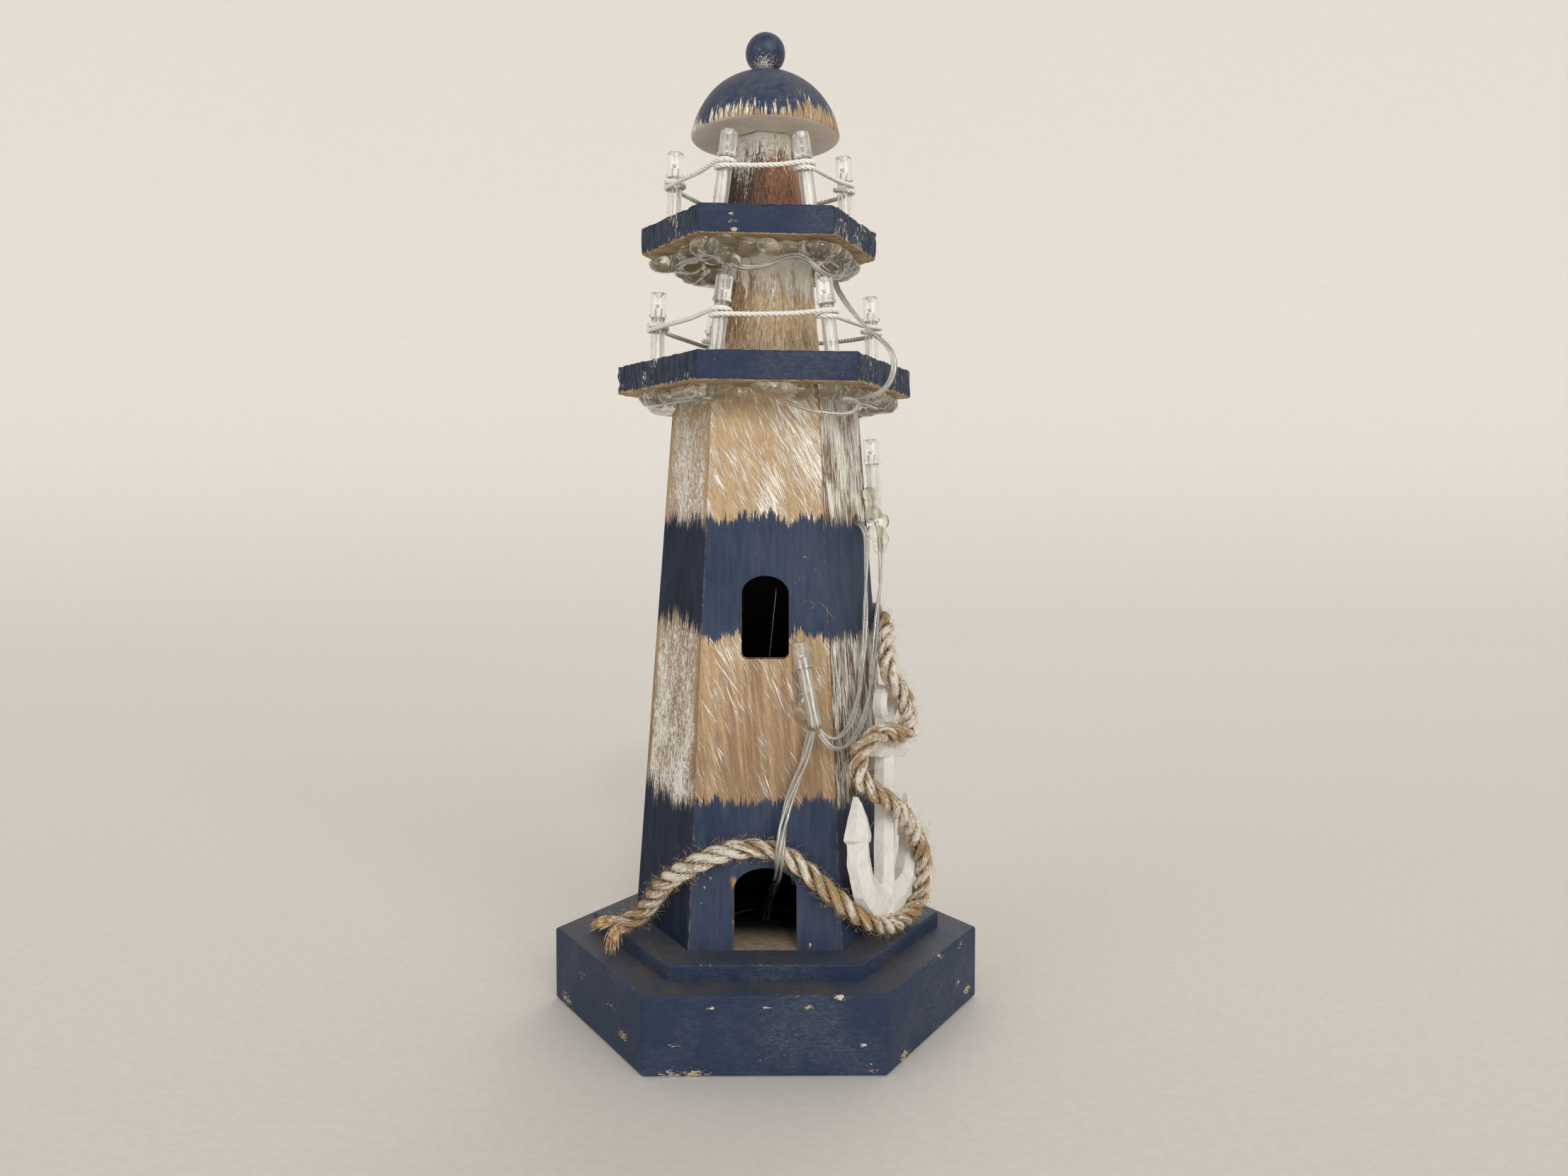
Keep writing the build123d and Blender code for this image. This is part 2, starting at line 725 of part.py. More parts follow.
# Jute rope: over the right corner, zigzag over the anchor, under its crown, over the door to the left
rope_route = [
    (31.4, 9.8, 124.6),
    (34.6, 5.6, 122.4),
    (37.4, -0.6, 118.8),
    (36.4, -7.4, 114.6),
    (36.7, -13.4, 110.2),
    (36.6, -18.6, 105.2),
    (40.2, -17.2, 100.4),
    (42.7, -14.1, 96.0),
    (43.4, -14.0, 90.3),
    (41.9, -18.1, 86.5),
    (38.3, -24.1, 88.1),
    (34.5, -29.8, 89.6),
    (29.8, -34.2, 87.9),
    (26.5, -34.9, 82.5),
    (26.6, -34.3, 77.1),
    (30.9, -32.7, 72.7),
    (36.4, -28.8, 68.5),
    (40.9, -21.9, 63.5),
    (45.0, -15.0, 56.9),
    (48.4, -8.9, 48.3),
    (49.4, -4.9, 39.0),
    (47.0, -7.9, 31.7),
    (42.0, -16.4, 30.2),
    (35.7, -26.6, 30.9),
    (28.3, -34.7, 35.7),
    (20.2, -38.0, 42.8),
    (13.8, -37.0, 48.6),
    (7.8, -36.4, 53.8),
    (1.6, -36.3, 56.8),
    (-6.6, -36.3, 57.0),
    (-14.2, -36.6, 55.2),
    (-22.2, -37.6, 51.6),
    (-28.8, -31.2, 46.0),
    (-33.0, -24.6, 39.0),
    (-36.6, -20.6, 33.4),
    (-40.6, -20.2, 30.4),
    (-45.4, -21.6, 29.7),
]
save_cord("jute_rope", rope_route, rope_diameter)


# Hot glue: a lump round each lamp's end under a deck, and one on the ring lead between lamps
def lump(x, y, bottom, radius, depth):
    """A flat-topped lump that hangs from a deck's underside."""
    round_radius = (radius**2 + depth**2) / (2 * depth)
    ball_part = Pos(x, y, bottom - depth + round_radius) * Sphere(round_radius)
    above = Box(4 * round_radius, 4 * round_radius, 4 * round_radius, align=on_base)
    return ball_part - Pos(x, y, bottom) * above


def largest(shape):
    """The main solid of a cut shape."""
    return shape.solids().sort_by(SortBy.VOLUME)[-1]


def deck_glue(places, sizes, depth, bottom, route, tail, cuts):
    """The lumps of one deck, cut free of the lamps, the leads and the tower."""
    lumps = []
    channel = tube(route, ring_lead_diameter + 2 * glue_clearance)
    for place, radius in zip(places, sizes):
        exit_point = place.origin - place.z_dir * (tail - lamp_tail)
        solid = lump(exit_point.X, exit_point.Y, bottom, radius, depth)
        shaft = Cylinder(sleeve_diameter / 2 + glue_clearance, 2 * tail + 2 * leg_stub)
        lumps.append(solid - place.location * shaft)
    for start, end in zip(route, route[1:]):
        middle = (Vector(*start) + Vector(*end)) / 2
        lumps.append(lump(middle.X, middle.Y, bottom, tie_bead, tie_bead_depth))
    return [largest(solid - channel - cuts) for solid in lumps]


def channels(*routes):
    """Cutters for the leads that pass through glue."""
    return [tube(route, diameter + 2 * glue_clearance) for route, diameter in routes]


lower_cuts = channels((deck_link_route, lead_diameter), (lower_slack_route, slack_diameter))
upper_cuts = channels((deck_link_route, lead_diameter), (upper_slack_route, lead_diameter))
lower_lumps = deck_glue(
    lower_lamps, lower_beads, lower_bead_depth, lower_deck_bottom, lower_ring_route, lower_tail,
    [tower_core, *lower_cuts],
)
upper_lumps = deck_glue(
    upper_lamps, upper_beads, upper_bead_depth, upper_deck_bottom, upper_ring_route, upper_tail,
    [mid_column, *upper_cuts],
)
save("lower_glue_lumps", *lower_lumps)
save("upper_glue_lumps", *upper_lumps)


# Glue that holds the two tower lamps
def lamp_glue(place, height, radius):
    """A dab between a lamp's sleeve and the tower."""
    dab = Pos(*(place.origin + place.z_dir * height)) * Sphere(radius)
    shaft = Cylinder(sleeve_diameter / 2 + glue_clearance, 4 * tower_lamp_stem)
    return largest(dab - place.location * shaft - tower_core)


window_glue = lamp_glue(window_lamp, window_dab_up, window_dab)
corner_glue = lamp_glue(corner_lamp, corner_dab_up, corner_dab)
save("tower_glue_dabs", window_glue, corner_glue)

# Anchor on the front right board
anchor_place = face["front_right"] * Pos(anchor_along, anchor_up) * Rot(0, 0, anchor_lean)
half_shank = shank_width / 2


def half_anchor(side):
    """One arm and its fluke."""
    arm = [
        (0, 0),
        (arm_knee, arm_knee_height),
        (fluke_out + arm_width / 2, fluke_foot),
        (fluke_out - arm_width / 2, fluke_foot),
        (half_shank, arm_crotch),
        (0, arm_crotch),
    ]
    fluke = [
        (fluke_out - arm_width / 2, fluke_foot - fluke_barb),
        (fluke_out + arm_width / 2, fluke_foot - fluke_barb),
        (fluke_out + fluke_width / 2, fluke_foot + fluke_barb),
        (fluke_out + fluke_tip_width / 2, fluke_tip),
        (fluke_out - fluke_tip_width / 2, fluke_tip),
        (fluke_out - fluke_width / 2, fluke_foot + fluke_barb),
    ]
    return [make_face(Polyline(*[(side * x, y) for x, y in shape], close=True)) for shape in (arm, fluke)]


shank_foot = arm_crotch / 2
outline = Pos(0, (shank_foot + shank_height) / 2) * Rectangle(shank_width, shank_height - shank_foot)
outline += [*half_anchor(1), *half_anchor(-1)]
outline += Pos(0, shank_height + eye_radius / 2) * Circle(eye_radius)
outline -= Pos(0, shank_height + eye_radius / 2) * Circle(eye_hole)
anchor = Pos(0, 0, anchor_standoff) * extrude(outline, amount=anchor_thick)
anchor = chamfer(anchor.faces().sort_by(Axis.Z)[-1].outer_wire().edges(), anchor_bevel)
stock = Pos(0, stock_up, anchor_standoff) * Box(stock_length, stock_height, stock_thick, align=on_base)
stock = chamfer(stock.faces().sort_by(Axis.Z)[-1].edges(), anchor_bevel)
save("anchor_body", anchor_place * anchor)
save("anchor_stock", anchor_place * (stock - anchor))
dabs = [
    Pos(0, height) * Cylinder(anchor_dab / 2, anchor_standoff, align=on_base)
    for height in anchor_dab_heights
]
save("anchor_glue_dabs", *[anchor_place * dab for dab in dabs])
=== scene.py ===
import math
import random

import bmesh
import bpy
from bpy.props import FloatProperty, FloatVectorProperty, PointerProperty
from mathutils import Matrix, Vector, geometry, noise


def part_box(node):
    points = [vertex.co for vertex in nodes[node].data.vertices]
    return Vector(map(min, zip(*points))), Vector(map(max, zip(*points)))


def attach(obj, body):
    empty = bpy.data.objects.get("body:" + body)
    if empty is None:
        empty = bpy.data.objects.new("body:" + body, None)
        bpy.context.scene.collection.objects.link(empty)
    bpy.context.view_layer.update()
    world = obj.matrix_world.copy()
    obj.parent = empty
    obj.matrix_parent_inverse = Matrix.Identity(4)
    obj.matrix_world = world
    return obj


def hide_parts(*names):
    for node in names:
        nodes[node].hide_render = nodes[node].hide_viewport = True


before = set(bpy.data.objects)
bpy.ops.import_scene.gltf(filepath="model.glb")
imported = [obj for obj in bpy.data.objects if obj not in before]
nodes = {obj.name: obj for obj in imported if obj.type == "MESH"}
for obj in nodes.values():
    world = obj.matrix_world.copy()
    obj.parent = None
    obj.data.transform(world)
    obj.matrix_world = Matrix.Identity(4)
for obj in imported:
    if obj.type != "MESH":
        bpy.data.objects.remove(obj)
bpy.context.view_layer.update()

bl_info = {
    "name": "Miniature Lighthouse",
    "version": (1, 0, 0),
    "blender": (4, 5, 0),
    "location": "3D View > Sidebar > Lighthouse",
    "description": "Dresses a wooden lighthouse with worn paint, lamps, glue, leads and rope",
    "category": "Object",
}

MM = 0.001
TOWER = "lighthouse"
TOWER_INSIDE = 35.4  # half the width between the boards at the tower's foot, in millimetres
UP = Vector((0, 0, 1))
DECK_LAMPS = 6
NOISE_SEED = 3  # fixes the vector noise of the glue and the anchor
WORN_BAND = 1.6  # how far the nicks reach from a block's edge, in millimetres

# Length of one link of the cords' meshes
LEAD_STEP = 0.8 * MM
ROPE_STEP = 0.5 * MM
RAIL_STEP = 0.22 * MM

# Camera, in metres, radians and millimetres of film
CAMERA_PLACE = (0.00238, -0.38203, 0.14672)
CAMERA_DIP = 0.0443
CAMERA_TURN = -0.0087
CAMERA_LENS = 28.06
CAMERA_FILM = 36.0

# Soft suns: direction that each shines from, strength, colour and spread in degrees
SUNS = {
    "key_light": ((0.42, -0.84, 0.34), 1.15, (1.0, 0.97, 0.93), 38),
    "fill_light": ((-0.70, -0.66, 0.28), 0.45, (0.97, 0.98, 1.0), 38),
    "back_light": ((0.25, 0.85, 0.45), 0.7, (1.0, 0.98, 0.95), 38),
    "table_light": ((0.10, -0.85, -0.42), 0.5, (1.0, 0.97, 0.93), 38),
    "sparkle_light": ((0.15, -0.8, 0.5), 0.4, (1.0, 1.0, 1.0), 5),
}

# Routes of the free cords, in millimetres, from where each leaves the object
DECK_LINK = [
    (25.5, -27.8, 185.6), (31.0, -29.7, 185.9), (35.5, -31.2, 189.0), (37.2, -31.5, 194.5),
    (35.8, -30.5, 199.8), (31.5, -28.5, 203.8), (27.0, -26.0, 208.6), (23.0, -22.2, 214.8),
    (20.6, -17.2, 220.4), (19.8, -13.2, 226.2),
]
LOWER_SLACK = [
    (22.0, -33.4, 185.0), (25.2, -32.4, 185.2), (27.2, -31.2, 183.6), (25.8, -30.8, 181.5),
    (21.4, -31.4, 180.8), (14.2, -31.8, 181.5), (8.4, -31.4, 183.3), (3.8, -31.0, 185.6),
    (0.2, -30.6, 188.4),
]
UPPER_SLACK = [
    (-18.6, -24.0, 229.4), (-14.4, -26.0, 226.2), (-8.4, -25.4, 223.9), (-2.0, -24.2, 223.8),
    (3.4, -23.6, 225.8), (8.0, -24.2, 227.6), (12.4, -25.8, 226.4), (15.0, -25.8, 223.0),
    (18.4, -24.0, 221.0), (21.8, -20.8, 221.6), (23.2, -17.0, 224.6), (22.2, -13.6, 228.2),
]
WALL_LEAD = [
    (1.0, 31.6, 182.6), (0.6, 28.4, 181.8), (0.4, 24.0, 181.2), (0.6, 18.6, 180.4),
    (2.2, 13.6, 177.0), (6.0, 8.6, 171.4), (11.4, 3.6, 163.6), (17.0, -0.8, 156.2),
    (21.4, -3.6, 151.8), (25.6, -5.8, 150.6), (28.8, -7.4, 150.2), (30.7, -8.6, 147.4),
    (30.9, -9.4, 142.0), (30.6, -10.6, 133.4), (30.4, -12.6, 123.6), (29.8, -15.4, 113.4),
    (28.6, -19.4, 103.6), (26.8, -24.6, 95.4), (24.2, -29.8, 90.4), (21.2, -33.0, 88.0),
    (17.8, -34.2, 88.0), (15.5, -34.0, 90.6),
]
LAMP_LEAD = [
    (34.6, 0.2, 150.6), (35.6, -0.8, 146.2), (35.8, -3.0, 139.4), (35.2, -5.8, 130.4),
    (34.0, -9.4, 120.6), (32.8, -13.8, 109.6), (31.2, -18.8, 99.4), (28.8, -25.2, 91.6),
    (25.4, -31.4, 87.0), (21.6, -35.6, 85.0), (17.8, -37.0, 86.2), (15.6, -36.2, 89.8),
]
DOOR_LEAD = [
    (13.2, -34.6, 90.4), (12.0, -35.0, 84.0), (9.4, -35.2, 77.2), (6.8, -35.8, 70.6),
    (5.2, -37.6, 64.4), (4.4, -40.8, 59.0), (3.9, -41.0, 53.4), (3.6, -37.4, 48.6),
    (3.2, -30.6, 46.0), (2.6, -22.8, 42.8), (1.9, -14.8, 38.2), (1.1, -7.0, 33.6),
    (0.5, -0.6, 29.4), (0.1, 3.8, 24.4), (0.0, 5.0, 18.6),
]
JUTE_ROPE = [
    (31.4, 9.8, 124.6), (34.6, 5.6, 122.4), (37.4, -0.6, 118.8), (36.4, -7.4, 114.6),
    (36.7, -13.4, 110.2), (36.6, -18.6, 105.2), (40.2, -17.2, 100.4), (42.7, -14.1, 96.0),
    (43.4, -14.0, 90.3), (41.9, -18.1, 86.5), (38.3, -24.1, 88.1), (34.5, -29.8, 89.6),
    (29.8, -34.2, 87.9), (26.5, -34.9, 82.5), (26.6, -34.3, 77.1), (30.9, -32.7, 72.7),
    (36.4, -28.8, 68.5), (40.9, -21.9, 63.5), (45.0, -15.0, 56.9), (48.4, -8.9, 48.3),
    (49.4, -4.9, 39.0), (47.0, -7.9, 31.7), (42.0, -16.4, 30.2), (35.7, -26.6, 30.9),
    (28.3, -34.7, 35.7), (20.2, -38.0, 42.8), (13.8, -37.0, 48.6), (7.8, -36.4, 53.8),
    (1.6, -36.3, 56.8), (-6.6, -36.3, 57.0), (-14.2, -36.6, 55.2), (-22.2, -37.6, 51.6),
    (-28.8, -31.2, 46.0), (-33.0, -24.6, 39.0), (-36.6, -20.6, 33.4), (-40.6, -20.2, 30.4),
    (-45.4, -21.6, 29.7),
]


def span(name, description, millimetres):
    """A length property, given in millimetres and kept in metres."""
    return FloatProperty(
        name=name, description=description, default=millimetres * MM, unit="LENGTH", precision=5
    )


def tilt(name, description, degrees):
    """An angle property, given in degrees."""
    return FloatProperty(
        name=name, description=description, default=math.radians(degrees), subtype="ANGLE"
    )


def tint(name, description, rgb):
    """A colour property, in linear light."""
    return FloatVectorProperty(
        name=name, description=description, default=rgb, subtype="COLOR", min=0.0, max=1.0
    )


class LighthouseSizes(bpy.types.PropertyGroup):
    """Sizes of the dressed pieces."""

    lower_circle: span("Lower lamp circle", "Radius of the lower lamps' feet", 33.5)
    lower_lean: tilt("Lower lamp lean", "Lean of the lower front and rear lamps", 6.4)
    lower_stem: span("Lower lamp stem", "Sleeve above the lower deck", 15.0)
    lower_turn: tilt("Lower deck turn", "Turn of the lower deck and its lamps", 5.4)
    lower_rail: span("Lower rail height", "Rail cord above the lower deck", 12.0)
    upper_circle: span("Upper lamp circle", "Radius of the upper lamps' feet", 26.5)
    upper_lean: tilt("Upper lamp lean", "Lean of the upper front and rear lamps", 7.5)
    upper_stem: span("Upper lamp stem", "Sleeve above the upper deck", 15.4)
    upper_turn: tilt("Upper deck turn", "Turn of the upper deck and its lamps", 4.4)
    upper_rail: span("Upper rail height", "Rail cord above the upper deck", 13.2)
    upper_shift: span("Upper deck shift", "Upper deck and its lamps along X", -1.7)
    side_lean: tilt("Side lamp lean", "Lean of the lamps at the decks' sides", 1.5)
    tower_stem: span("Tower lamp stem", "Sleeve of the two lamps on the tower", 17.0)
    window_lamp_along: span("Window lamp along", "Window lamp right of the board's middle", 14.4)
    window_lamp_up: span("Window lamp up", "Window lamp's foot above the board's foot", 64.5)
    window_lamp_lean: tilt("Window lamp lean", "Lean of the window lamp to the left", 11.0)
    corner_lamp_drop: span("Corner lamp drop", "Corner lamp's foot below the tower's head", 37.8)
    lamp_offset: span("Tower lamp offset", "Tower lamp's axis off the wood", 3.05)
    lamp_tail: span("Lamp tail", "Sleeve past a deck's underside", 2.0)
    bulb_radius: span("Bulb radius", "Radius of a bulb", 2.5)
    bulb_height: span("Bulb height", "Height of a bulb", 7.6)
    sleeve_radius: span("Sleeve radius", "Outer radius of a lamp's sleeve", 2.15)
    sleeve_bore: span("Sleeve bore", "Inner radius of a lamp's sleeve", 1.65)
    leg_radius: span("Leg radius", "Radius of a lamp's leg", 0.3)
    leg_spacing: span("Leg spacing", "Distance between a lamp's legs", 1.5)
    rail_radius: span("Rail cord radius", "Radius of the cotton cord", 0.75)
    rail_lay: span("Rail cord lay", "Length of one turn of the cotton strands", 4.6)
    lower_ring_radius: span("Lower ring radius", "Lead round the lower deck's underside", 35.85)
    lower_ring_height: span("Lower ring height", "Height of that lead", 185.4)
    upper_ring_radius: span("Upper ring radius", "Lead round the upper deck's underside", 26.0)
    upper_ring_height: span("Upper ring height", "Height of that lead", 227.8)
    lead_lay: span("Lead lay", "Length of one turn of a lead's strands", 62.0)
    bundle_slack: span("Bundle slack", "How far a bundle of four strands bulges past its width", 0.4)
    rope_radius: span("Rope radius", "Radius of the jute rope", 2.5)
    rope_puff: span("Rope puff", "How far the loose strands bulge past the rope's radius", 0.4)
    rope_lay: span("Rope lay", "Length of one turn of the rope's strands", 17.5)
    rope_hair: span("Rope hair", "Length of the loose fibres on the rope", 2.6)
    board_thick: span("Board thickness", "Thickness of the tower's boards", 6.0)
    anchor_along: span("Anchor along", "Anchor's crown from the board's middle", -3.4)
    anchor_up: span("Anchor up", "Anchor's crown above the board's foot", 6.4)
    anchor_lean: tilt("Anchor lean", "Lean of the anchor", -9.0)
    anchor_standoff: span("Anchor standoff", "Anchor's back off the board", 4.9)
    anchor_thick: span("Anchor thickness", "Thickness of the anchor at its ridge", 4.2)


class LighthouseColours(bpy.types.PropertyGroup):
    """Colours of the finishes, in linear light."""

    navy: tint("Navy", "Navy paint", (0.014, 0.027, 0.062))
    navy_dry: tint("Dry navy", "Navy where the brush ran dry", (0.042, 0.058, 0.098))
    dust: tint("Dust", "Dust and rubbed paint on level faces", (0.078, 0.072, 0.070))
    rubbed: tint("Rubbed", "Paint worn to a brown haze", (0.115, 0.105, 0.095))
    cream: tint("Cream", "Cream undercoat in the chips", (0.70, 0.64, 0.51))
    raw_wood: tint("Raw wood", "Bare light wood", (0.50, 0.36, 0.20))
    brown_wood: tint("Brown wood", "Darker grain and stain", (0.20, 0.12, 0.065))
    whitewash: tint("Whitewash", "Dry-brushed white", (0.87, 0.825, 0.735))
    chalk: tint("Chalk white", "White paint of the anchor", (0.74, 0.715, 0.67))
    jute: tint("Jute", "Rope fibre", (0.30, 0.20, 0.10))
    cotton: tint("Cotton", "Rail cord", (0.84, 0.81, 0.74))
    glue: tint("Glue", "Hot glue", (0.96, 0.925, 0.82))
    sleeve: tint("Sleeve", "Lamp sleeves", (0.96, 0.95, 0.91))
    floor: tint("Floor", "Floor and backdrop", (0.66, 0.63, 0.59))


class Wire:
    """A node's output that takes part in Python sums; each sum adds its Math node."""

    def __init__(self, graph, socket):
        self.graph = graph
        self.socket = socket

    def out(self, name):
        """Another output of the same node."""
        return Wire(self.graph, self.socket.node.outputs[name])

    def math(self, operation, *values):
        """The result of a Math node on these values."""
        return self.graph.node("ShaderNodeMath", {"operation": operation}, dict(enumerate(values)))

    def __add__(self, other):
        return self.math("ADD", self, other)

    def __radd__(self, other):
        return self.math("ADD", other, self)

    def __sub__(self, other):
        return self.math("SUBTRACT", self, other)

    def __rsub__(self, other):
        return self.math("SUBTRACT", other, self)

    def __mul__(self, other):
        return self.math("MULTIPLY", self, other)

    def __truediv__(self, other):
        return self.math("DIVIDE", self, other)

    def __abs__(self):
        return self.math("ABSOLUTE", self)

    def highest(self, other):
        """The larger of two values."""
        return self.math("MAXIMUM", self, other)

    def lowest(self, other):
        """The smaller of two values."""
        return self.math("MINIMUM", self, other)

    def rise(self, low, high):
        """A smooth step from 0 at low to 1 at high."""
        settings = {"interpolation_type": "SMOOTHSTEP"}
        return self.graph.node("ShaderNodeMapRange", settings, {0: self, 1: low, 2: high})


class Graph:
    """A node tree that is being built."""

    def __init__(self, tree):
        self.tree = tree

    def node(self, kind, settings=None, sockets=None, output=0):
        """Adds a node: its settings first, then the values or links of its sockets."""
        made = self.tree.nodes.new(kind)
        for key, value in (settings or {}).items():
            setattr(made, key, value)
        for key, value in (sockets or {}).items():
            self.feed(made.inputs[key], value)
        return Wire(self, made.outputs[output]) if len(made.outputs) else made

    def feed(self, socket, value):
        """Links a wire to a socket, or sets the socket's own value."""
        if isinstance(value, Wire):
            self.tree.links.new(value.socket, socket)
        elif socket.type == "RGBA":
            socket.default_value = (*value[:3], 1.0)
        else:
            socket.default_value = value

    def join(self, x, y, z):
        """A vector from three values."""
        return self.node("ShaderNodeCombineXYZ", {}, {0: x, 1: y, 2: z})


class Finish(Graph):
    """A procedural material on Object coordinates in millimetres."""

    def __init__(self, name):
        self.material = bpy.data.materials.new(name)
        self.material.use_nodes = True
        super().__init__(self.material.node_tree)
        self.shader = self.tree.nodes["Principled BSDF"]
        coordinates = self.node("ShaderNodeTexCoord", output="Object")
        self.place = self.vector("MULTIPLY", coordinates, (1 / MM,) * 3)

    def vector(self, operation, first, second, output=0):
        """The result of a Vector Math node."""
        return self.node("ShaderNodeVectorMath", {"operation": operation}, {0: first, 1: second}, output)

    def dot(self, first, second):
        """How far one vector reaches along another."""
        return self.vector("DOT_PRODUCT", first, second, "Value")

    def axes(self):
        """The place's X, Y and Z."""
        split = self.node("ShaderNodeSeparateXYZ", {}, {0: self.place})
        return split, split.out("Y"), split.out("Z")

    def cloud(self, vector, scale, detail, roughness=0.55):
        """Soft noise about one half."""
        sockets = {"Vector": vector, "Scale": scale, "Detail": detail, "Roughness": roughness}
        return self.node("ShaderNodeTexNoise", {}, sockets)

    def drawn(self, stretch, detail, roughness=0.55):
        """Soft noise drawn out along the axes: the larger a factor, the finer it is that way."""
        return self.cloud(self.vector("MULTIPLY", self.place, stretch), 1.0, detail, roughness)

    def spread(self, first, second, third, detail, roughness=0.55):
        """Soft noise over three values of the surface's own."""
        return self.cloud(self.join(first, second, third), 1.0, detail, roughness)

    def attribute(self, name):
        """A value stored on the mesh."""
        return self.node("ShaderNodeAttribute", {"attribute_name": name}, {}, "Fac")

    def mix(self, low, high, factor):
        """One colour over another."""
        return self.node("ShaderNodeMix", {"data_type": "RGBA"}, {0: factor, 6: low, 7: high}, 2)

    def bump(self, height, depth):
        """Relief of a depth in millimetres."""
        sockets = {"Height": height, "Strength": 1.0, "Distance": depth * MM}
        return self.node("ShaderNodeBump", {}, sockets)

    def shade(self, **values):
        """Feeds the shader's sockets, named with underscores, and gives the material."""
        for name, value in values.items():
            self.feed(self.shader.inputs[name.replace("_", " ")], value)
        return self.material


# Mesh helpers
def add_piece(name, mesh, material, replaced=()):
    """Puts a finished mesh on the tower's body."""
    mesh.name = name
    mesh.materials.clear()
    mesh.materials.append(material)
    piece = bpy.data.objects.new(name, mesh)
    bpy.context.scene.collection.objects.link(piece)
    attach(piece, TOWER)
    if replaced:
        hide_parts(*replaced)
    return piece


def to_mesh(shape, name):
    """A plain smooth mesh from a bmesh, with its faces turned outwards."""
    bmesh.ops.recalc_face_normals(shape, faces=shape.faces)
    mesh = bpy.data.meshes.new(name)
    shape.to_mesh(mesh)
    shape.free()
    mesh.shade_smooth()
    return mesh


def dress(node, material):
    """Gives a CAD node its finish."""
    mesh = nodes[node].data
    mesh.materials.clear()
    mesh.materials.append(material)


def join_rings(shape, rings, capped=True):
    """Faces between neighbouring rings, of which an end may be one point, and a cap on either end."""
    for below, above in zip(rings, rings[1:]):
        around = max(len(below), len(above))
        for step in range(around):
            after = (step + 1) % around
            corners = [
                below[step % len(below)], below[after % len(below)],
                above[after % len(above)], above[step % len(above)],
            ]
            shape.faces.new(dict.fromkeys(corners))
    if capped:
        shape.faces.new(rings[0][::-1])
        shape.faces.new(rings[-1])


def add_lathe(shape, profile, around, matrix):
    """Adds a turned shape: profile points (radius, height), axis to axis or round a closed wall."""
    rings = []
    for radius, height in profile:
        if radius == 0:
            rings.append([shape.verts.new(matrix @ Vector((0, 0, height)))])
            continue
        ring = []
        for step in range(around):
            angle = math.tau * step / around
            point = Vector((radius * math.cos(angle), radius * math.sin(angle), height))
            ring.append(shape.verts.new(matrix @ point))
        rings.append(ring)
    join_rings(shape, rings, False)


def add_tube(shape, points, radius, sides):
    """Adds a round wire along points, closed at both ends; radius may be one value a point."""
    radii = radius if isinstance(radius, list) else [radius] * len(points)
    side = None
    rings = []
    for index, point in enumerate(points):
        ahead = points[min(index + 1, len(points) - 1)] - points[max(index - 1, 0)]
        ahead.normalize()
        side = ahead.orthogonal() if side is None else side - ahead * side.dot(ahead)
        side.normalize()
        other = ahead.cross(side)
        ring = []
        for step in range(sides):
            angle = math.tau * step / sides
            offset = side * math.cos(angle) + other * math.sin(angle)
            ring.append(shape.verts.new(point + offset * radii[index]))
        rings.append(ring)
    join_rings(shape, rings)


def evaluated_mesh(holder):
    """A plain mesh of an object with its modifiers; the object is then removed."""
    mesh = bpy.data.meshes.new_from_object(holder.evaluated_get(bpy.context.evaluated_depsgraph_get()))
    holder.modifiers.clear()
    bpy.data.objects.remove(holder)
    return mesh


def route_line(name, points):
    """A smooth open line with these control points, as a curve object."""
    data = bpy.data.curves.new(name, "CURVE")
    data.dimensions = "3D"
    data.resolution_u = 12
    spline = data.splines.new("NURBS")
    spline.points.add(len(points) - 1)
    for control, point in zip(spline.points, points):
        control.co = (*point, 1.0)
    spline.order_u = 3
    spline.use_endpoint_u = True
    line = bpy.data.objects.new(name, data)
    bpy.context.scene.collection.objects.link(line)
    return line


def line_points(line):
    """The points that a curve with no bevel passes through."""
    mesh = bpy.data.meshes.new_from_object(line.evaluated_get(bpy.context.evaluated_depsgraph_get()))
    points = [vertex.co.copy() for vertex in mesh.vertices]
    bpy.data.meshes.remove(mesh)
    return points


# Geometry node trees
def new_tree(name, inputs):
    """An empty tree with a geometry input, named inputs and a geometry output."""
    tree = bpy.data.node_groups.new(name, "GeometryNodeTree")
    tree.interface.new_socket("Geometry", in_out="INPUT", socket_type="NodeSocketGeometry")
    for label, kind in inputs.items():
        tree.interface.new_socket(label, in_out="INPUT", socket_type="NodeSocket" + kind)
    tree.interface.new_socket("Geometry", in_out="OUTPUT", socket_type="NodeSocketGeometry")
    graph = Graph(tree)
    return graph, graph.node("NodeGroupInput")


def close_tree(graph, shape, material):
    """Ends a tree in Realize Instances and Set Material."""
    real = graph.node("GeometryNodeRealizeInstances", {}, {"Geometry": shape})
    done = graph.node("GeometryNodeSetMaterial", {}, {"Geometry": real, "Material": material})
    graph.node("NodeGroupOutput", {}, {0: done})
    return graph.tree


def run_tree(holder, tree, values):
    """Runs a tree on an object with these named inputs and gives the plain mesh."""
    modifier = holder.modifiers.new(tree.name, "NODES")
    modifier.node_group = tree
    for item in tree.interface.items_tree:
        if item.in_out == "INPUT" and item.name in values:
            modifier[item.identifier] = values[item.name]
    return evaluated_mesh(holder)


def stored(graph, geometry, name, value, domain="POINT"):
    """The geometry with a value kept under a name."""
    settings = {"data_type": "FLOAT", "domain": domain}
    sockets = {"Geometry": geometry, "Name": name, "Value": value}
    return graph.node("GeometryNodeStoreNamedAttribute", settings, sockets)


